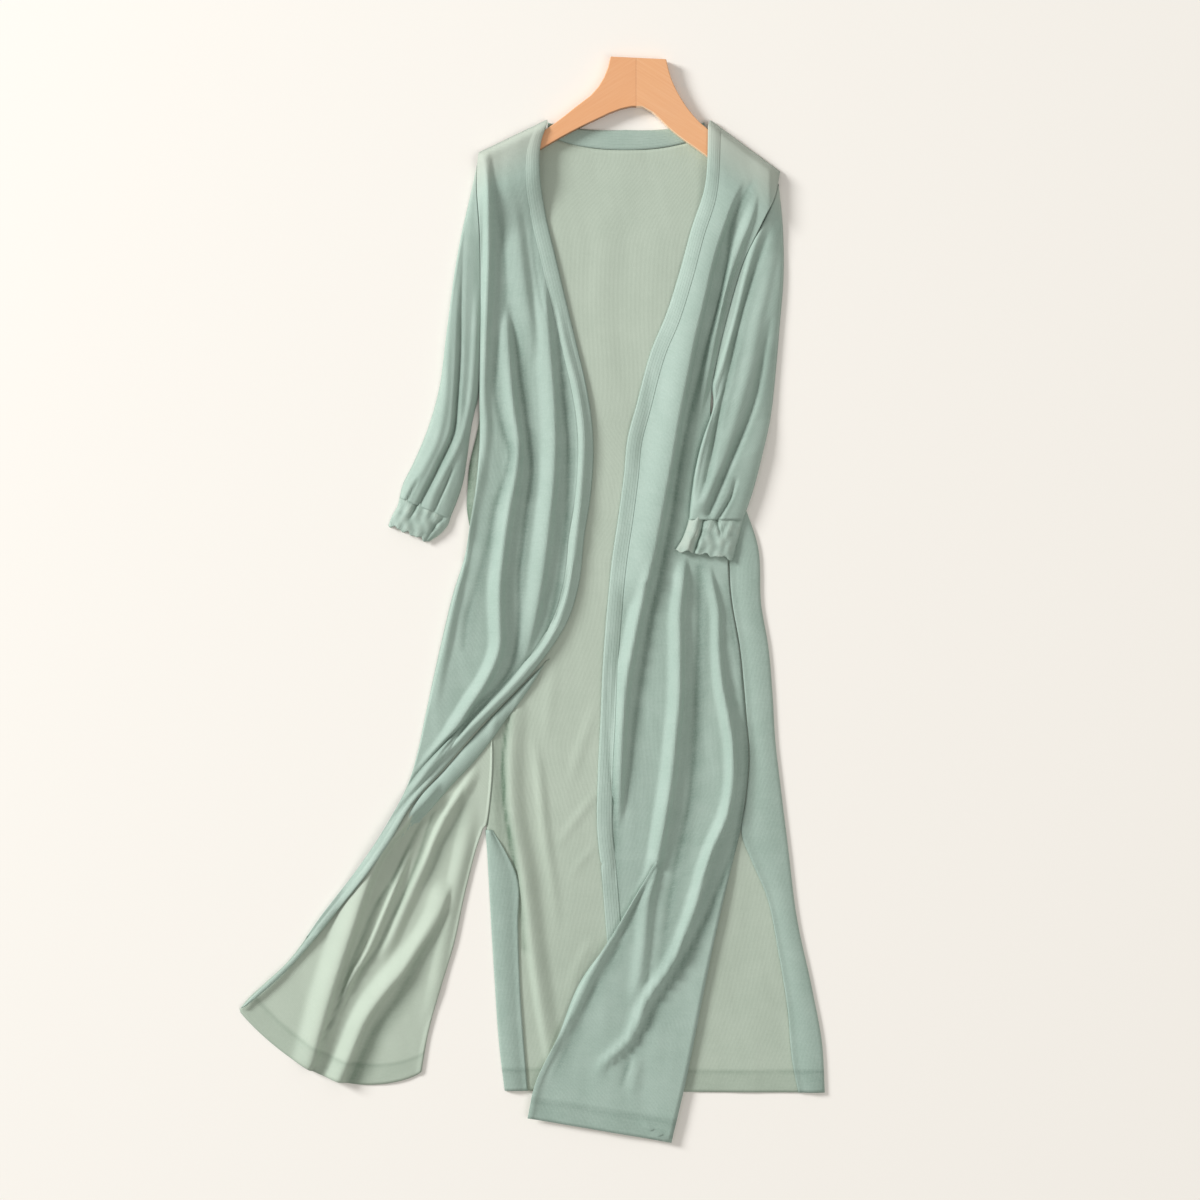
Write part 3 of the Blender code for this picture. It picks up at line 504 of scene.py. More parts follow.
def relief(places, folds, creases=(), puff=0.0):
    """How far the folds raise the cloth at each place, with the creases pressed into them."""
    flat = places.reshape(-1, 2)
    total = np.full(len(flat), 1.0) * np.asarray(puff).reshape(-1) ** 3
    for fold in folds:
        near, away, height = from_line(flat, fold.path, max(fold.west, fold.east))
        away = np.abs(away) / np.where(away < 0, fold.west, fold.east)
        bump = 0.5 + 0.5 * np.cos(math.pi * np.clip(away, 0, 1))
        total[near] += (np.maximum(height, 0) * bump) ** 3
    height = np.cbrt(total)
    for crease in creases:
        near, away, share = from_line(flat, crease.path, crease.width)
        pressed = np.clip(share, 0, 1) * (1 - np.clip(np.abs(away) / crease.width, 0, 1)) ** 1.6
        height[near] *= 1 - pressed
    return height.reshape(places.shape[:-1])


def ripple(places, amount, seed=0.0):
    """Small soft unevenness, longer down the garment than across it, from 0 to amount."""
    x, y = places[..., 0], places[..., 1]
    waves = (
        np.sin(x / 9.1 + 1.7 * np.sin(y / 71 + seed) + seed)
        + np.sin(x / 15.7 - y / 133 + 2.1 * seed + 1.3 * np.sin(y / 47))
        + 0.7 * np.sin(y / 29 + x / 38 + 3 * seed + np.sin(x / 21))
        + 0.5
        * np.sin(x / 3.4 + 2.2 * np.sin(y / 37 + 2 * seed) + y / 61)
        * np.sin(y / 53 + x / 17 + seed) ** 2
    )
    return amount * (0.5 + waves / 6.4)


def shoulder_depth(places):
    """How far below the shoulder seam each place lies."""
    left, right = np.array(LEFT_SIDE[0]), np.array(RIGHT_SEAM[0])
    left_neck, right_neck = np.array(LEFT_EDGE[0]), np.array(RIGHT_EDGE[0])
    depth = []
    for tip, neck, turn in ((left, left_neck, 1), (right, right_neck, -1)):
        run = (neck - tip) / np.linalg.norm(neck - tip)
        offset = places - tip
        depth.append(-turn * (run[0] * offset[..., 1] - run[1] * offset[..., 0]))
    return np.where(places[..., 0] < 0, depth[0], depth[1])


def hanger_lift(places):
    """How far the hanger's arms raise the cloth that lies over them."""
    depth = shoulder_depth(places)
    rise = ease(depth / LIFT_RISE)
    fall = 1 - ease((depth - LIFT_HOLD) / LIFT_FALL)
    beyond = np.abs(places[..., 0]) - LIFT_SIDE_START
    side = 1 - LIFT_SIDE_DROP * ease(beyond / LIFT_SIDE_FALL)
    return HANGER_LIFT * rise * fall * side


def under_sleeve(places):
    """1 where the right sleeve or its cuff lies over the body, 0 well away from it."""
    inner = np.array([ring.inner for ring in SLEEVE_RIGHT + CUFF_RIGHT[1:]], float)
    x, y = places[..., 0], places[..., 1]
    edge = np.interp(-y, -inner[:, 1], inner[:, 0])
    east = ease((x - edge + PRESS_EAST) / PRESS_EAST_OVER)
    above = ease((y - inner[-1, 1] + PRESS_WRIST) / PRESS_WRIST_OVER)
    below = 1 - ease((y - inner[0, 1] + PRESS_SHOULDER) / PRESS_SHOULDER_OVER)
    return east * above * below


def left_inside_mid(places):
    """Mid-surface of the left front where it lies turned, inner face up."""
    uneven = ripple(places, *INSIDE_RIPPLE)
    return BACK_MID + relief(places, LEFT_INSIDE_FOLDS, LEFT_INSIDE_CREASES, uneven)


def front_left_mid(places):
    """Mid-surface of the left front where it lies outer face up."""
    over_inside = left_inside_mid(places) + CLEAR_OF_CLOTH
    resting = smooth_max(np.full(over_inside.shape, float(FRONT_MID)), over_inside, MEETING_ROUND)
    uneven = ripple(places, *FRONT_LEFT_RIPPLE)
    folds = relief(places, FRONT_LEFT_FOLDS, FRONT_LEFT_CREASES, uneven)
    return resting + hanger_lift(places) + folds


def front_right_mid(places):
    """Mid-surface of the right front, its folds pressed flat under the sleeve."""
    clear = 1 - under_sleeve(places)
    uneven = ripple(places, *FRONT_RIGHT_RIPPLE)
    folds = relief(places, FRONT_RIGHT_FOLDS, FRONT_RIGHT_CREASES, uneven)
    return FRONT_MID + hanger_lift(places) + folds * clear


def back_mid(places):
    """Mid-surface of the back."""
    return BACK_MID + relief(places, BACK_FOLDS, BACK_CREASES, ripple(places, *BACK_RIPPLE))


def rows_for(length):
    return np.linspace(0, 1, round(length / ROW_STEP) + 1)


def across(lines, counts):
    """A grid of places: each row runs straight from line to line, in so many steps."""
    grid = [lines[0][:, None]]
    for start, end, count in zip(lines, lines[1:], counts):
        steps = np.linspace(0, 1, count + 1)[1:, None]
        grid.append(start[:, None] + (end - start)[:, None] * steps)
    return np.concatenate(grid, axis=1)


def raised(places, heights):
    heights = np.broadcast_to(heights, places.shape[:-1])
    return np.concatenate([places, heights[..., None]], axis=-1)


class Sheet:
    """Grids of points that share edges, joined into one open surface with its own weave."""

    def __init__(self):
        self.points = []
        self.weave = []
        self.tone = []
        self.faces = []
        self.known = {}

    def add(self, grid, facing_up=True, ring=False, tone=None):
        """Join a grid on. Its tone below 0 darkens the cloth, mostly as painted shade in creases
        and gaps, also the darker hem; above 0 it pales the cloth where it is sheer, at the cuff's
        paler face, and as painted highlight on the cuffs' puckers.
        """
        if ring:
            grid = np.concatenate([grid, grid[:, :1]], axis=1)
            tone = np.concatenate([tone, tone[:, :1]], axis=1)
        tone = np.zeros(grid.shape[:-1]) if tone is None else tone
        steps_across = np.linalg.norm(np.diff(grid, axis=1), axis=2)
        steps_down = np.linalg.norm(np.diff(grid, axis=0), axis=2).mean(axis=1)
        u = np.concatenate([np.zeros((len(grid), 1)), np.cumsum(steps_across, axis=1)], axis=1)
        v = np.broadcast_to(np.r_[0, np.cumsum(steps_down)][:, None], u.shape)
        numbers = np.empty(grid.shape[:-1], int)
        for place in np.ndindex(numbers.shape):
            key = tuple(np.round(grid[place], 3))
            if key not in self.known:
                self.known[key] = len(self.points)
                self.points.append(grid[place] * MM)
                self.tone.append(tone[place])
            numbers[place] = self.known[key]
        for i in range(numbers.shape[0] - 1):
            for j in range(numbers.shape[1] - 1):
                corners = [(i, j), (i + 1, j), (i + 1, j + 1), (i, j + 1)]
                if not facing_up:
                    corners.reverse()
                self.faces.append([int(numbers[c]) for c in corners])
                self.weave += [(u[c] * MM, v[c] * MM) for c in corners]

    def piece(self, name, node, slot, finishes, thickness):
        """The finished piece, which stands for a node of the solid model."""
        data = bpy.data.meshes.new(name)
        data.from_pydata([tuple(p) for p in self.points], [], self.faces)
        layer = data.uv_layers.new(name="weave")
        layer.data.foreach_set("uv", np.array(self.weave, np.float32).ravel())
        tone = data.attributes.new("tone", "FLOAT", "POINT")
        tone.data.foreach_set("value", np.array(self.tone, np.float32))
        for finish in finishes:
            data.materials.append(finish)
        data.shade_smooth()
        piece = bpy.data.objects.new(name, data)
        bpy.context.scene.collection.objects.link(piece)
        shell = piece.modifiers.new("thickness", "SOLIDIFY")
        shell.thickness = thickness * MM
        shell.offset = 0
        if len(finishes) > 1:
            shell.material_offset = 1
        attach(piece, "root")
        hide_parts(node)
        return piece


def srgb(red, green, blue):
    """A linear colour from 8-bit display values."""
    parts = [value / 255 for value in (red, green, blue)]
    parts = [p / 12.92 if p <= 0.04045 else ((p + 0.055) / 1.055) ** 2.4 for p in parts]
    return (*parts, 1)


class Nodes:
    """Short calls for building a material's nodes."""

    def __init__(self, name):
        self.material = bpy.data.materials.new(name)
        self.material.use_nodes = True
        self.tree = self.material.node_tree
        self.shader = self.tree.nodes["Principled BSDF"]

    def new(self, kind, **settings):
        node = self.tree.nodes.new(kind)
        for key, value in settings.items():
            setattr(node, key, value)
        return node

    def put(self, value, socket):
        if isinstance(value, bpy.types.NodeSocket):
            self.tree.links.new(value, socket)
        else:
            socket.default_value = value

    def math(self, operation, a, b=0.0, c=0.0, clamp=False):
        node = self.new("ShaderNodeMath", operation=operation, use_clamp=clamp)
        for value, socket in zip((a, b, c), node.inputs):
            self.put(value, socket)
        return node.outputs[0]

    def mix(self, factor, a, b, blend="MIX"):
        node = self.new("ShaderNodeMix", data_type="RGBA", blend_type=blend)
        self.put(factor, node.inputs["Factor"])
        self.put(a, node.inputs["A"])
        self.put(b, node.inputs["B"])
        return node.outputs["Result"]

    def blotch(self, value, gain, shift, a, b):
        """Colour a, with b where the value times the gain plus the shift is high."""
        return self.mix(self.math("MULTIPLY_ADD", value, gain, shift, clamp=True), a, b)

    def noise(self, vector, scale, detail=3.0, roughness=0.55):
        node = self.new("ShaderNodeTexNoise")
        self.put(vector, node.inputs["Vector"])
        node.inputs["Scale"].default_value = scale
        node.inputs["Detail"].default_value = detail
        node.inputs["Roughness"].default_value = roughness
        return node.outputs["Fac"]

    def stretched(self, vector, x, y, z=1.0):
        node = self.new("ShaderNodeMapping")
        self.put(vector, node.inputs["Vector"])
        node.inputs["Scale"].default_value = (x, y, z)
        return node.outputs["Vector"]

    def bump(self, height, distance, strength=1.0):
        node = self.new("ShaderNodeBump")
        self.put(height, node.inputs["Height"])
        node.inputs["Distance"].default_value = distance
        node.inputs["Strength"].default_value = strength
        self.put(node.outputs["Normal"], self.shader.inputs["Normal"])

    def set(self, **values):
        for key, value in values.items():
            self.shader.inputs[key.replace("_", " ")].default_value = value


def knit(name, base, dark, light, sheer, wale=WALE, rib=0.0, fuzz=0.35):
    """Fine jersey: columns of stitches at the wale's width, uneven yarn, and a soft sheen.

    The tone attribute darkens the cloth with painted shade in creases and gaps and with the darker
    hem, and pales it where thin cloth lets what lies beneath show through, at the cuff's paler
    face, and with painted highlight on the cuffs' puckers.
    """
    n = Nodes(name)
    weave = n.new("ShaderNodeUVMap", uv_map="weave").outputs["UV"]
    parts = n.new("ShaderNodeSeparateXYZ")
    n.put(weave, parts.inputs[0])
    u, v = parts.outputs["X"], parts.outputs["Y"]
    columns = n.math("SINE", n.math("MULTIPLY", u, 2 * math.pi / (wale * MM)))
    courses = n.math("SINE", n.math("MULTIPLY", v, 2 * math.pi / (wale * COURSE_SHARE * MM)))
    columns = n.math("MULTIPLY_ADD", columns, 0.5, 0.5)
    courses = n.math("MULTIPLY_ADD", courses, 0.3, 0.7)
    stitch = n.math("MULTIPLY", columns, courses)
    yarn = n.noise(n.stretched(weave, 900, 240), 1.0)
    slubs = n.noise(n.stretched(weave, 60, 420), 1.0, detail=2.0)
    cloud = n.noise(weave, 26.0, detail=4.0)
    tone = n.new("ShaderNodeAttribute", attribute_name="tone").outputs["Fac"]
    # Negative tone: painted shade in creases, gaps and under the arm, plus the darker hem band and
    # its stitches.
    pressed = n.math("MULTIPLY", tone, -1.0, clamp=True)
    pale_and_painted_highlight = n.math("MULTIPLY", tone, 1.0, clamp=True)
    colour = n.mix(pressed, base, dark)
    uneven = n.math("ADD", n.math("MULTIPLY", yarn, 0.5), n.math("MULTIPLY", slubs, 0.5))
    colour = n.blotch(uneven, 0.9, -0.28, colour, n.mix(0.5, colour, light))
    colour = n.blotch(cloud, 1.6, -0.62, colour, n.mix(0.34, colour, light))
    grain = n.noise(n.stretched(weave, 520, 380), 1.0, detail=2.0, roughness=0.7)
    colour = n.blotch(grain, 1.5, -0.62, colour, n.mix(0.3, colour, light))
    colour = n.blotch(grain, -1.5, 0.56, colour, n.mix(0.24, colour, dark))
    colour = n.mix(n.math("MULTIPLY", stitch, 0.16), colour, dark)
    # Positive tone pales toward the sheer colour: thin cloth over the hanger, the cuff's paler
    # face, and painted highlight on the cuffs' pucker crests.
    colour = n.mix(n.math("MULTIPLY", pale_and_painted_highlight, 0.85), colour, sheer)
    n.put(colour, n.shader.inputs["Base Color"])
    ridges = n.math("SINE", n.math("MULTIPLY", u, 2 * math.pi / (RIB_SPACING * MM)))
    ridges = n.math("MULTIPLY", ridges, rib)
    height = n.math("ADD", n.math("ADD", stitch, ridges), n.math("MULTIPLY", yarn, 0.8))
    n.bump(height, 0.00022, 0.6)
    n.set(Roughness=0.62, Metallic=0.0)
    n.set(Sheen_Weight=fuzz, Sheen_Roughness=0.38, Sheen_Tint=(0.86, 1.0, 0.93, 1))
    n.set(Specular_IOR_Level=0.42)
    return n.material


def wood(name):
    """Light lacquered wood: growth lines along each arm, a joint down the neck block, and a painted
    highlight on the right arm's lower edge with painted shade on the left arm's.
    """
    n = Nodes(name)
    where = n.new("ShaderNodeTexCoord").outputs["Object"]
    parts = n.new("ShaderNodeSeparateXYZ")
    n.put(where, parts.inputs[0])
    x, y = parts.outputs["X"], parts.outputs["Y"]
    side = n.math("ABSOLUTE", n.math("SUBTRACT", x, JOINT_X * MM))
    along_arm = n.math("ADD", n.math("MULTIPLY", side, 0.62), y)
    grain_place = n.new("ShaderNodeCombineXYZ")
    n.put(n.math("MULTIPLY", along_arm, 420.0), grain_place.inputs["X"])
    n.put(n.math("MULTIPLY", x, 16.0), grain_place.inputs["Y"])
    grain = n.noise(grain_place.outputs[0], 1.0, detail=6.0, roughness=0.6)
    pores = n.noise(n.stretched(where, 900, 900, 900), 1.0, detail=2.0)
    cloud = n.noise(where, 22.0, detail=3.0)
    colour = n.blotch(grain, 1.5, -0.35, srgb(231, 168, 120), srgb(246, 195, 150))
    colour = n.blotch(cloud, 1.2, -0.4, colour, srgb(240, 178, 126))
    colour = n.mix(n.math("MULTIPLY", pores, 0.12), colour, srgb(196, 126, 78))
    left = n.math("LESS_THAN", x, JOINT_X * MM)
    colour = n.mix(n.math("MULTIPLY", left, 0.22), colour, srgb(226, 155, 106))
    # Painted light on the arms' lower edges: a painted highlight on the right arm's, painted shade
    # on the left arm's.
    facing = n.new("ShaderNodeSeparateXYZ")
    n.put(n.new("ShaderNodeNewGeometry").outputs["Normal"], facing.inputs[0])
    lower_edge_painted_light = n.math("MULTIPLY", facing.outputs["Y"], -1.6, clamp=True)
    edge_highlight_and_shade = n.mix(left, srgb(255, 226, 192), srgb(150, 98, 60))
    colour = n.mix(n.math("MULTIPLY", lower_edge_painted_light, 0.8), colour, edge_highlight_and_shade)
    groove = n.math("COMPARE", x, JOINT_X * MM, 0.00035)
    colour = n.mix(n.math("MULTIPLY", groove, 0.45), colour, srgb(176, 110, 66))
    n.put(colour, n.shader.inputs["Base Color"])
    n.bump(n.math("SUBTRACT", n.math("MULTIPLY", grain, 0.4), groove), 0.00015, 0.5)
    n.set(Roughness=0.42, Metallic=0.0)
    n.set(Coat_Weight=0.25, Coat_Roughness=0.25, Specular_IOR_Level=0.45)
    return n.material


# Each knit's dark colour is the colour of its painted shade in creases and gaps; it also darkens
# the stitches and the grain.
JERSEY = knit(
    "jersey_outer",
    base=srgb(156, 178, 166),
    dark=srgb(34, 74, 54),
    light=srgb(201, 217, 208),
    sheer=srgb(186, 189, 176),
)
JERSEY_INNER = knit(
    "jersey_inner",
    base=srgb(181, 194, 178),
    dark=srgb(70, 102, 78),
    light=srgb(203, 214, 199),
    sheer=srgb(190, 193, 180),
    fuzz=0.12,
)
RIB = knit(
    "rib_knit",
    base=srgb(159, 180, 168),
    dark=srgb(40, 80, 60),
    light=srgb(202, 217, 208),
    sheer=srgb(186, 189, 176),
    rib=0.3,
)
WOOD = wood("light_wood")


def crease_painted_shade(places, creases, depth=0.62):
    """Painted shade in and beside the creases, as a negative tone; it reaches further on the east
    side, away from the light.
    """
    flat = places.reshape(-1, 2)
    tone = np.zeros(len(flat))
    for crease in creases:
        reach = 2.2 * crease.width
        near, away, share = from_line(flat, crease.path, reach)
        reach = np.where(away < 0, 0.9 * crease.width, reach)
        pressed = np.clip(share, 0, 1) * (1 - np.clip(np.abs(away) / reach, 0, 1)) ** 1.5
        tone[near] = np.minimum(tone[near], -depth * pressed)
    return tone.reshape(places.shape[:-1])


def shoulder_tone(places):
    """The cloth is thin enough over the shoulders for the pale ground to show through."""
    depth = shoulder_depth(places)
    return SHEER_TONE * (1 - ease((depth - SHEER_START) / SHEER_FADE))


def neck_drop(x):
    """How far the back's top edge lies below the neck points, at each x."""
    inside = np.clip(1 - (x / BACK_NECK_HALF) ** 2, 0, 1)
    curve = BACK_NECK_DEPTH * np.sqrt(inside)
    left_slope = (NECK_POINT_Y - BACK_LEFT[0][1]) / (-BACK_LEFT[0][0] - BACK_NECK_HALF)
    right_slope = (NECK_POINT_Y - BACK_RIGHT[0][1]) / (BACK_RIGHT[0][0] - BACK_NECK_HALF)
    slope = np.where(x < 0, left_slope, right_slope)
    return np.where(np.abs(x) < BACK_NECK_HALF, curve, slope * (np.abs(x) - BACK_NECK_HALF))


def back_grid():
    """Places of the back panel, its top row bent to the shoulders and the neck."""
    rows = rows_for(BACK_LEFT[0][1] - BACK_LEFT[-1][1])
    left, right = along(BACK_LEFT, rows), along(BACK_RIGHT, rows)
    thirds = along(BACK_LEFT_THIRD, rows), along(BACK_RIGHT_THIRD, rows)
    grid = across([left, *thirds, right], BACK_STEPS)
    top = grid[0]
    shift = NECK_POINT_Y - neck_drop(top[:, 0]) - top[:, 1]
    gone = grid[0][None, :, 1] - grid[..., 1]
    grid[..., 1] += shift * (1 - ease(gone / NECK_FADE))
    return grid


def turned_strip(sheet, outline, free_edge, inward, facing_up):
    """Cloth that turns up round a side of the back and lies on it, to its free edge."""
    x = outline[:, 0]
    edge = at_height(free_edge, outline[:, 1])[:, 0]
    rest = x + inward * TURN_RADIUS
    columns = [(x, np.full(len(x), BACK_MID))]
    for angle in (45, 90, 135):
        turn = math.radians(angle)
        out = TURN_RADIUS * math.sin(turn)
        height = BACK_MID + TURN_RADIUS * (1 - math.cos(turn))
        columns.append((x - inward * out, np.full(len(x), height)))
    for step in np.linspace(0, 1, TURNED_STEPS):
        round_part = math.sin(math.pi * min(1, step * 1.15 + 0.1)) if step < 0.95 else 0.0
        height = FRONT_MID + max(0.0, TURNED_CROWN * round_part)
        columns.append((rest + step * (edge - rest), np.full(len(x), height)))
    points = [np.stack([cx, outline[:, 1], z], axis=1) for cx, z in columns]
    tone = np.broadcast_to(hem_tone(len(outline), ROW_STEP), (len(outline), len(columns)))
    sheet.add(np.stack(points, axis=1), facing_up=facing_up, tone=tone - TURNED_SHADE)


def hem_tone(lines, step):
    """The hem's turned band is a little darker, with its row of stitches darker still."""
    from_hem = np.arange(lines)[::-1] * step
    band = -HEM_SHADE * (from_hem < HEM_WIDTH)
    stitches = -STITCH_SHADE * np.exp(-(((from_hem - HEM_WIDTH) / (0.6 * step)) ** 2))
    return (band + stitches)[:, None]


def back_tone(grid):
    """Painted shade on the back in its crease, beside the left seam and under the arm; the darker
    hem band; and a little darker towards the hem.
    """
    x, y = grid[..., 0], grid[..., 1]
    tone = crease_painted_shade(grid, BACK_CREASES, 0.9) + hem_tone(len(grid), ROW_STEP)
    # Painted shade on the strip between the open seam and the crease beside it, and on the bulge
    # under the left arm.
    seam = np.interp(-y, OPEN_SEAM_DOWN, OPEN_SEAM_X)
    fold = np.interp(-y, SEAM_FOLD_DOWN, SEAM_FOLD_X)
    beside_seam_painted_shade = ease((x - seam + 1) / 2) * (1 - ease((x - fold) / 2)) * ease((-y - 118) / 10)
    tone = tone - 0.3 * beside_seam_painted_shade * (1 - ease((-y - 290) / 60))
    under_arm_painted_shade = (1 - ease((x + 170) / 4)) * ease((236 - y) / 10) * ease((y - 40) / 30)
    return tone - 0.95 * under_arm_painted_shade - 0.1 * ease((-150 - y) / 300)


def make_back():
    """The back, with a bulge that shows under the left arm and is painted dark there as shade, and
    both slit edges turned over.
    """
    grid = back_grid()
    sheet = Sheet()
    y = grid[:, 0, 1]
    bulge = UNDER_ARM_REACH * ease((UNDER_ARM_TOP - y) / UNDER_ARM_TOP_FADE)
    bulge = bulge * ease((y - UNDER_ARM_BOTTOM) / UNDER_ARM_BOTTOM_FADE)
    grid[:, 0, 0] -= bulge
    grid[:, 1, 0] = BACK_LEFT[6][0] * (bulge > 0) + grid[:, 1, 0] * (bulge <= 0)
    sheet.add(raised(grid, back_mid(grid)), tone=back_tone(grid))
    left = grid[:, 0][grid[:, 0, 1] < TURN_STARTS_LEFT]
    turned_strip(sheet, left, LEFT_TURNED_EDGE, 1, facing_up=False)
    right = grid[:, -1][grid[:, -1, 1] < TURN_STARTS_RIGHT]
    turned_strip(sheet, right, RIGHT_TURNED_EDGE, -1, facing_up=True)
    return sheet.piece("back_panel", "back", "jersey_panel", [JERSEY_INNER, JERSEY], CLOTH)


def band_lines(edge, side, rows):
    """The seam where the band meets its front, and the band's own two sides."""
    outer = along(edge, rows)
    inward = along(side, rows) - outer
    reach = np.linalg.norm(inward, axis=1)[:, None]
    width = np.minimum(BAND_WIDTH, reach - TURN_CLEAR)
    seam = outer + inward / reach * (width - BAND_LAP)
    own = outer + inward / reach * width
    return seam, own, outer, reach[:, 0]


def band_crown():
    """The band lies a little proud of its seam and rolls down to its outer edge."""
    return 1.1 * ease(BAND_STEPS * 2.5) - 0.12 - 1.5 * BAND_STEPS**9


def band_places(own, edge):
    """Places of the band, with its top corner at the neck rounded off."""
    edge = edge.copy()
    edge[:3] += (own[:3] - edge[:3]) * CORNER_ROUND
    return own[:, None] + (edge - own)[:, None] * BAND_STEPS[:, None]


def second_roll():
    """The turned front's second roll, which shows along the lower side of the first."""
    rows = np.linspace(0, 1, 70)
    steps = np.array([0, 0.1, 0.22, 0.36, 0.5, 0.64, 0.78, 0.9, 1])
    outer = along(ROLL_LOWER, rows)
    inner = along(ROLL_UPPER, rows)
    roll = inner[:, None] + (outer - inner)[:, None] * steps[:, None]
    dive = ease(rows * 3 - 2)[:, None]
    crown = (ROLL_HEIGHT * ease(rows * 8)[:, None]) * np.sin(math.pi * steps) ** 0.6 * (1 - dive)
    rest = np.maximum(left_inside_mid(roll), back_mid(roll))
    return roll, np.maximum(rest + REST_GAP + crown - ROLL_DIVE * dive, BACK_MID)


def make_front_left():
    """The left front: outer face up above, turned below its fold, and its band."""
    rows = rows_for(LEFT_LENGTH)
    side = along(LEFT_SIDE, rows)
    seam, own, edge, reach = band_lines(LEFT_EDGE, LEFT_SIDE, rows)
    panel = reach > BAND_WIDTH + LEAST_PANEL
    top = across([side[panel], seam[panel]], [LEFT_STEPS])
    heights = front_left_mid(top)
    opened = side[:, 1] < LEFT_SEAM[0][1]
    settled = ease((LEFT_SEAM[0][1] + SIDE_SINKS_ABOVE - side[:, 1]) / SIDE_SINKS_OVER)
    turned_z = front_left_mid(side) * (1 - settled) + (BACK_MID + TURN_RADIUS) * settled
    heights[:, 0] = turned_z[panel]
    tone = crease_painted_shade(top, FRONT_LEFT_CREASES) + shoulder_tone(top)
    sheet = Sheet()
    sheet.add(raised(top, heights), tone=tone)

    turn = side[opened]
    seam_line = along(LEFT_SEAM, np.linspace(0, 1, len(turn)) ** SEAM_PACE)
    inward = seam_line - turn
    reach = np.linalg.norm(inward, axis=1)[:, None]
    tucked = turn + inward / reach * TURN_RADIUS
    lapped = seam_line + [SEAM_LAP, 0] * (seam_line[:, 1:] > TURN_STARTS_LEFT)
    inside = across([turn, tucked, lapped], [1, INSIDE_STEPS])
    sag = np.sin(math.pi * np.linspace(0, 1, inside.shape[1])) ** SAG_ROUND
    inside[..., 1] -= LEFT_HEM_SAG * sag * ease(np.linspace(-1.2, 1, len(turn)))[:, None]
    inside_heights = left_inside_mid(inside)
    inside_heights[:, 0] = turned_z[opened]
    over_back = back_mid(inside[:, -2:]) + REST_GAP
    inside_heights[:, -2:] = np.maximum(inside_heights[:, -2:], over_back)
    inside_tone = crease_painted_shade(inside, LEFT_INSIDE_CREASES) + hem_tone(len(inside), ROW_STEP)
    sheet.add(raised(inside, inside_heights), facing_up=False, tone=inside_tone)
    roll, roll_heights = second_roll()
    sheet.add(raised(roll, roll_heights), tone=0 * roll_heights)
    front = sheet.piece("front_left_panel", "front_left", "jersey", [JERSEY, JERSEY_INNER], CLOTH)

    band = band_places(own, edge)
    strip = Sheet()
    proud = BAND_PROUD * ~panel
    band_heights = front_left_mid(band) + proud[:, None] + band_crown()
    shade = shoulder_tone(band) - BAND_EDGE_SHADE * (BAND_STEPS > BAND_EDGE_START)
    strip.add(raised(band, band_heights), tone=shade)
    return front, strip.piece("band_left_rib", "band_left", "rib", [RIB], BAND_CLOTH)


def make_front_right():
    """The right front: its upper part, the flap and the tongue below it, and its band."""
    rows = rows_for(RIGHT_LENGTH)
    seam, own, edge, _ = band_lines(RIGHT_EDGE, RIGHT_CREASE, rows)
    crease = along(RIGHT_CREASE, rows)
    outer = along(RIGHT_SEAM, rows)
    left_steps, right_steps = RIGHT_STEPS
    upper = across([seam, crease, outer], [left_steps, right_steps])
    sheet = Sheet()
    heights = front_right_mid(upper)
    tone = crease_painted_shade(upper, FRONT_RIGHT_CREASES) + shoulder_tone(upper)
    sheet.add(raised(upper, heights), tone=tone)

    low_rows = np.linspace(0, 1, FLAP_ROWS)
    fold = along(FLAP_FOLD, low_rows)
    slit = along(FLAP_SLIT, low_rows)
    flap = across([fold, slit], [right_steps])
    lift = FLAP_LIFT * ease(low_rows * 4)[:, None]
    flap_heights = front_right_mid(flap) + lift
    flap[0], flap_heights[0] = upper[-1, left_steps:], heights[-1, left_steps:]
    flap_step = np.linalg.norm(np.diff(slit, axis=0), axis=1).mean()
    flap_tone = crease_painted_shade(flap, FRONT_RIGHT_CREASES) + hem_tone(len(flap), flap_step)
    sheet.add(raised(flap, flap_heights), tone=flap_tone)

    tongue_seam, tongue_own, tongue_edge, _ = band_lines(TONGUE_EDGE, TONGUE_HIDDEN, low_rows)
    hidden = along(TONGUE_HIDDEN, low_rows)
    tongue = across([tongue_seam, hidden], [left_steps])
    settle = (1 - ease(low_rows * 5))[:, None]
    tongue_heights = FRONT_MID + (front_right_mid(tongue) - FRONT_MID) * settle
    tongue[0], tongue_heights[0] = upper[-1, :left_steps + 1], heights[-1, :left_steps + 1]
    sheet.add(raised(tongue, tongue_heights), tone=crease_painted_shade(tongue, FRONT_RIGHT_CREASES))
    front = sheet.piece("front_right_panel", "front_right", "jersey", [JERSEY, JERSEY_INNER], CLOTH)

    band = np.concatenate([band_places(own, edge), band_places(tongue_own, tongue_edge)[1:]])
    settle = np.r_[np.ones(len(own)), settle[1:, 0]][:, None]
    band_heights = FRONT_MID + (front_right_mid(band) - FRONT_MID) * settle
    band_heights += BAND_LIFT + band_crown() * np.maximum(settle, 0.5)
    strip = Sheet()
    strip.add(raised(band, band_heights), facing_up=False, tone=shoulder_tone(band))
    return front, strip.piece("band_right_rib", "band_right", "rib", [RIB], BAND_CLOTH)


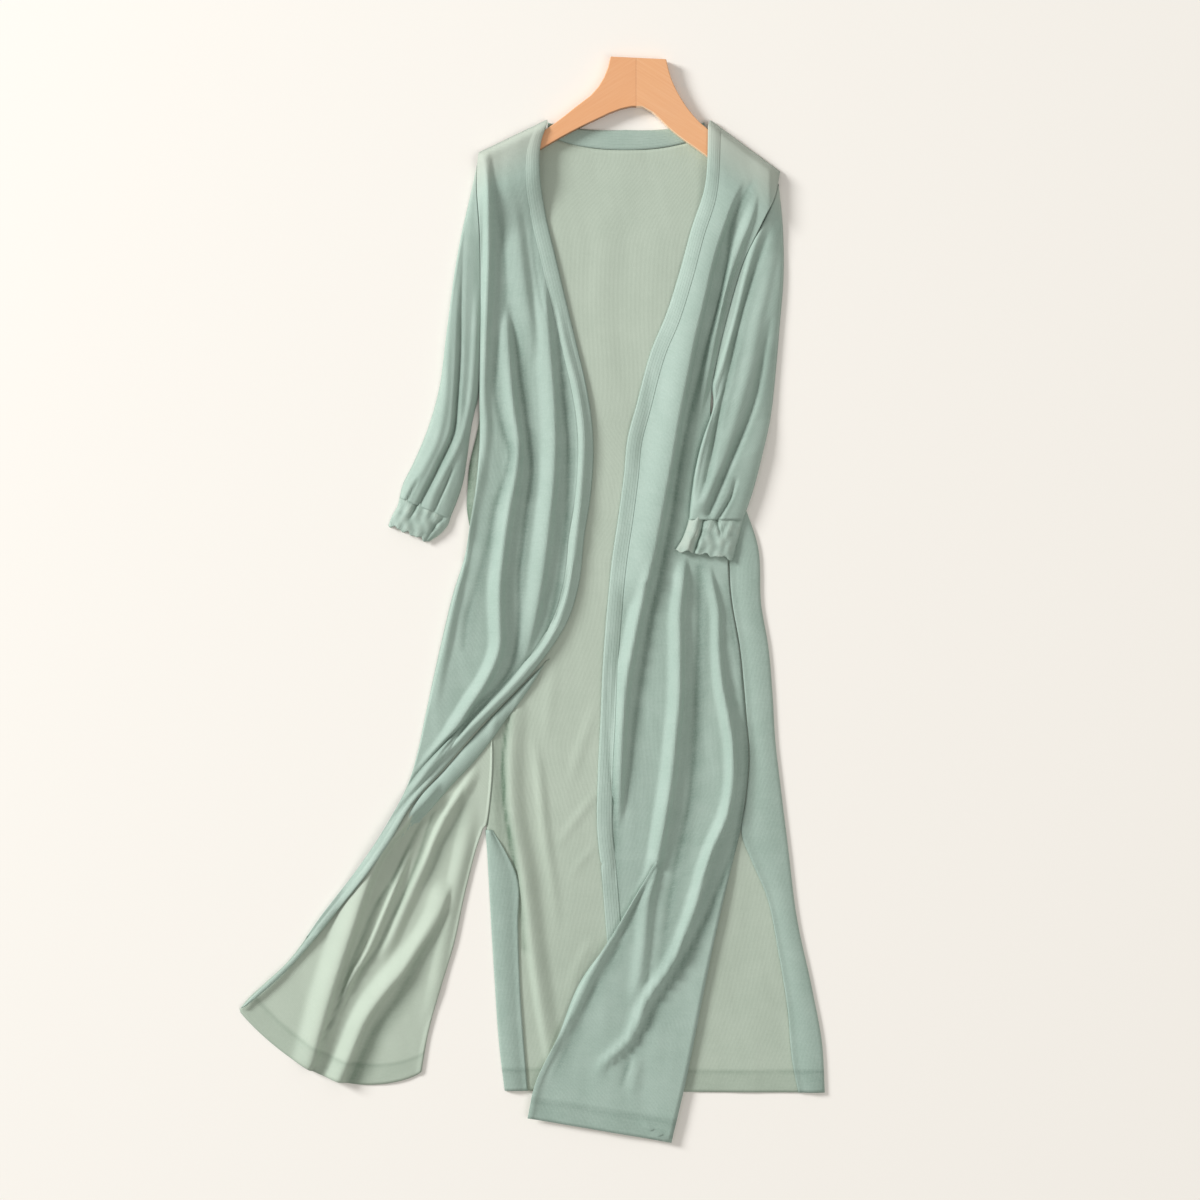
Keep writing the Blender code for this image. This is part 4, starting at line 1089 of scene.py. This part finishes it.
def make_neck_band():
    """The stretch of the band round the back neck, along the back panel's top edge."""
    x = np.linspace(-NECK_BAND_HALF, NECK_BAND_HALF, NECK_BAND_STEPS[0])
    lower = np.stack([x, NECK_POINT_Y - neck_drop(x) + 0.2], axis=1)
    heading = np.gradient(lower, axis=0)
    heading /= np.linalg.norm(heading, axis=1)[:, None]
    steep = np.clip(np.abs(heading[:, 1]), 0, 1)
    width = NECK_BAND_WIDTH * (1 - 0.75 * steep)
    upper = lower + np.stack([np.zeros(len(x)), width], axis=1)
    grid = across([lower, upper], NECK_BAND_STEPS[1:])
    sheet = Sheet()
    crown = 0.6 * np.sin(math.pi * np.linspace(0, 1, grid.shape[1])) ** 0.5
    sheet.add(raised(grid, BAND_CLOTH / 2 + BACK_MID + crown), facing_up=False)
    return sheet.piece("band_neck_rib", "band_neck", "rib", [RIB], BAND_CLOTH)


def crumple(places, amount, seed):
    """Short irregular puckers of the gathered rib."""
    x, y = places[..., 0] + seed, places[..., 1]
    puckers = (
        np.sin(x / 1.9 + 1.1 * np.sin(y / 4.3 + seed))
        + np.sin((x + 0.9 * y) / 3.7 + np.sin(y / 3.1))
        + 0.8 * np.sin((y - 0.5 * x) / 2.9 + 1.9 * np.sin(x / 5.3))
    )
    return amount * puckers


def pale(places):
    """The turned-over corner of the right cuff shows its paler face."""
    x, y = places[..., 0], places[..., 1]
    corner = np.interp(y, CUFF_CORNER_Y, CUFF_CORNER_X)
    return 0.3 * (1 - ease((x - corner + 2) / 3)) * (x > 0)


def tube(rings, folds, creases, armhole, around, step, puff, gathered=0.0):
    """A flattened tube through the rings. Its first ring follows the armhole.

    A gathered tube is puckered all over and has a frilly end.
    """
    length = sum(math.dist(a.outer, b.outer) for a, b in zip(rings, rings[1:]))
    steps = np.linspace(0, 1, round(length / step) + 1)
    knots = np.linspace(0, 1, len(rings))

    def blend(values):
        return np.interp(steps, knots, values)

    outer = along([ring.outer for ring in rings], steps)
    inner = along([ring.inner for ring in rings], steps)
    across_steps = np.linspace(0, 1, around + 1)
    places = outer[:, None] + (inner - outer)[:, None] * across_steps[:, None]
    if armhole is not None:
        line = at_height(armhole, places[0, :, 1])
        bow = line - places[0]
        places += bow * (1 - ease(steps * len(rings) / 3))[:, None, None]
    spread = ease(across_steps)
    floor = blend([ring.outer_floor for ring in rings])[:, None] * (1 - spread) + (
        blend([ring.inner_floor for ring in rings])[:, None] * spread
    )
    height = blend([ring.height for ring in rings])[:, None]
    crown = 1 - np.abs(2 * across_steps - 1) ** 5
    if gathered:
        heading = (outer[-1] + inner[-1] - outer[0] - inner[0]) / 2
        heading /= np.linalg.norm(heading)
        frill = np.sin(across_steps * 21 + 1) + 0.7 * np.sin(across_steps * 37)
        places += FRILL * (frill * ease(steps * 2 - 1)[:, None])[..., None] * heading
    round_top = (height - TUBE_LEAST) * crown
    puffed = round_top + ripple(places, puff, 0.9)
    top = floor + TUBE_LEAST + relief(places, folds, creases, puffed)
    top += crown * crumple(places, gathered, rings[0].outer[0])
    top += hanger_lift(places) * 0.6 * (1 - ease(steps * 6))[:, None]
    middle = 0.5 * (floor + top)
    under = raised(places, floor)[:, 1:-1]
    over = raised(places, top)[:, 1:-1][:, ::-1]
    first = raised(places[:, :1], middle[:, :1])
    last = raised(places[:, -1:], middle[:, -1:])
    shade = crease_painted_shade(places, creases) + shoulder_tone(places) * 0.8
    # On a gathered cuff the puckers' crests are painted paler and their hollows darker, as painted
    # highlight and shade.
    if gathered:
        shade = shade + crumple(places, 0.06, rings[0].outer[0]) + pale(places)
    tones = [shade[:, :1], shade[:, 1:-1] * 0, shade[:, -1:], shade[:, 1:-1][:, ::-1]]
    return np.concatenate([first, under, last, over], axis=1), np.concatenate(tones, axis=1)


def make_sleeve(name, rings, folds, creases, armhole, outwards):
    """A sleeve. outwards is -1 for the left one and 1 for the right one."""
    side = [(x + outwards * SLEEVE_GAP, y) for x, y in armhole]
    grid, tone = tube(rings, folds, creases, side, SLEEVE_STEPS, SLEEVE_STEP, puff=0.8)
    sheet = Sheet()
    sheet.add(grid, facing_up=outwards > 0, ring=True, tone=tone)
    return sheet.piece(name + "_tube", name, "jersey", [JERSEY, JERSEY_INNER], CLOTH)


def make_cuff(name, rings, folds, creases, outwards):
    """A gathered cuff. outwards is as for its sleeve."""
    grid, tone = tube(rings, folds, creases, None, CUFF_STEPS, CUFF_STEP, puff=1.2, gathered=0.4)
    sheet = Sheet()
    sheet.add(grid, facing_up=outwards > 0, ring=True, tone=tone)
    return sheet.piece(name + "_rib", name, "rib", [RIB, JERSEY_INNER], BAND_CLOTH)


def make_floor():
    data = bpy.data.meshes.new("ground")
    half = 4.0
    corners = [(-half, -half, 0), (half, -half, 0), (half, half, 0), (-half, half, 0)]
    data.from_pydata(corners, [], [(0, 1, 2, 3)])
    ground = bpy.data.objects.new("ground", data)
    bpy.context.scene.collection.objects.link(ground)
    ground.location.z = -0.0002
    n = Nodes("ground")
    n.set(Base_Color=srgb(246, 242, 236), Roughness=0.9, Specular_IOR_Level=0.1)
    data.materials.append(n.material)


def area_light(name, where, size, power, colour):
    light = bpy.data.lights.new(name, "AREA")
    light.shape = "DISK"
    light.size = size
    light.energy = power
    light.color = colour
    lamp = bpy.data.objects.new(name, light)
    bpy.context.scene.collection.objects.link(lamp)
    lamp.location = where
    direction = np.array(where) / np.linalg.norm(where)
    lamp.rotation_mode = "QUATERNION"
    lamp.rotation_quaternion = Vector(direction).to_track_quat("Z", "Y")


def make_stage():
    make_floor()
    area_light("window", (-7.8, 3.7, 3.9), size=2.8, power=980, colour=(0.99, 1.0, 1.0))
    area_light("fill", (2.6, -1.4, 5.0), size=3.0, power=62, colour=(1.0, 0.965, 0.92))
    world = bpy.data.worlds.new("studio")
    bpy.context.scene.world = world
    world.use_nodes = True
    sky = world.node_tree.nodes["Background"]
    sky.inputs["Color"].default_value = (1.0, 0.985, 0.955, 1)
    sky.inputs["Strength"].default_value = 0.42
    scene = bpy.context.scene
    scene.view_settings.view_transform = "Standard"
    scene.view_settings.look = "None"

    camera = bpy.data.cameras.new("camera")
    view = bpy.data.objects.new("camera", camera)
    scene.collection.objects.link(view)
    scene.camera = view
    camera.sensor_width = SENSOR
    camera.lens = SENSOR * CAMERA_HEIGHT / IMAGE_ACROSS
    view.location = (IMAGE_MIDDLE_X, 0, CAMERA_HEIGHT)


back = make_back()
front_left, band_left = make_front_left()
front_right, band_right = make_front_right()
band_neck = make_neck_band()
sleeve_left = make_sleeve(
    "sleeve_left", SLEEVE_LEFT, SLEEVE_LEFT_FOLDS, SLEEVE_LEFT_CREASES, LEFT_SIDE[:6], -1
)
sleeve_right = make_sleeve(
    "sleeve_right", SLEEVE_RIGHT, SLEEVE_RIGHT_FOLDS, SLEEVE_RIGHT_CREASES, RIGHT_SEAM[:8], 1
)
cuff_left = make_cuff("cuff_left", CUFF_LEFT, CUFF_LEFT_FOLDS, CUFF_LEFT_CREASES, -1)
cuff_right = make_cuff("cuff_right", CUFF_RIGHT, CUFF_RIGHT_FOLDS, CUFF_RIGHT_CREASES, 1)
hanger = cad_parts["hanger"]
hanger.data.materials.clear()
hanger.data.materials.append(WOOD)

make_stage()
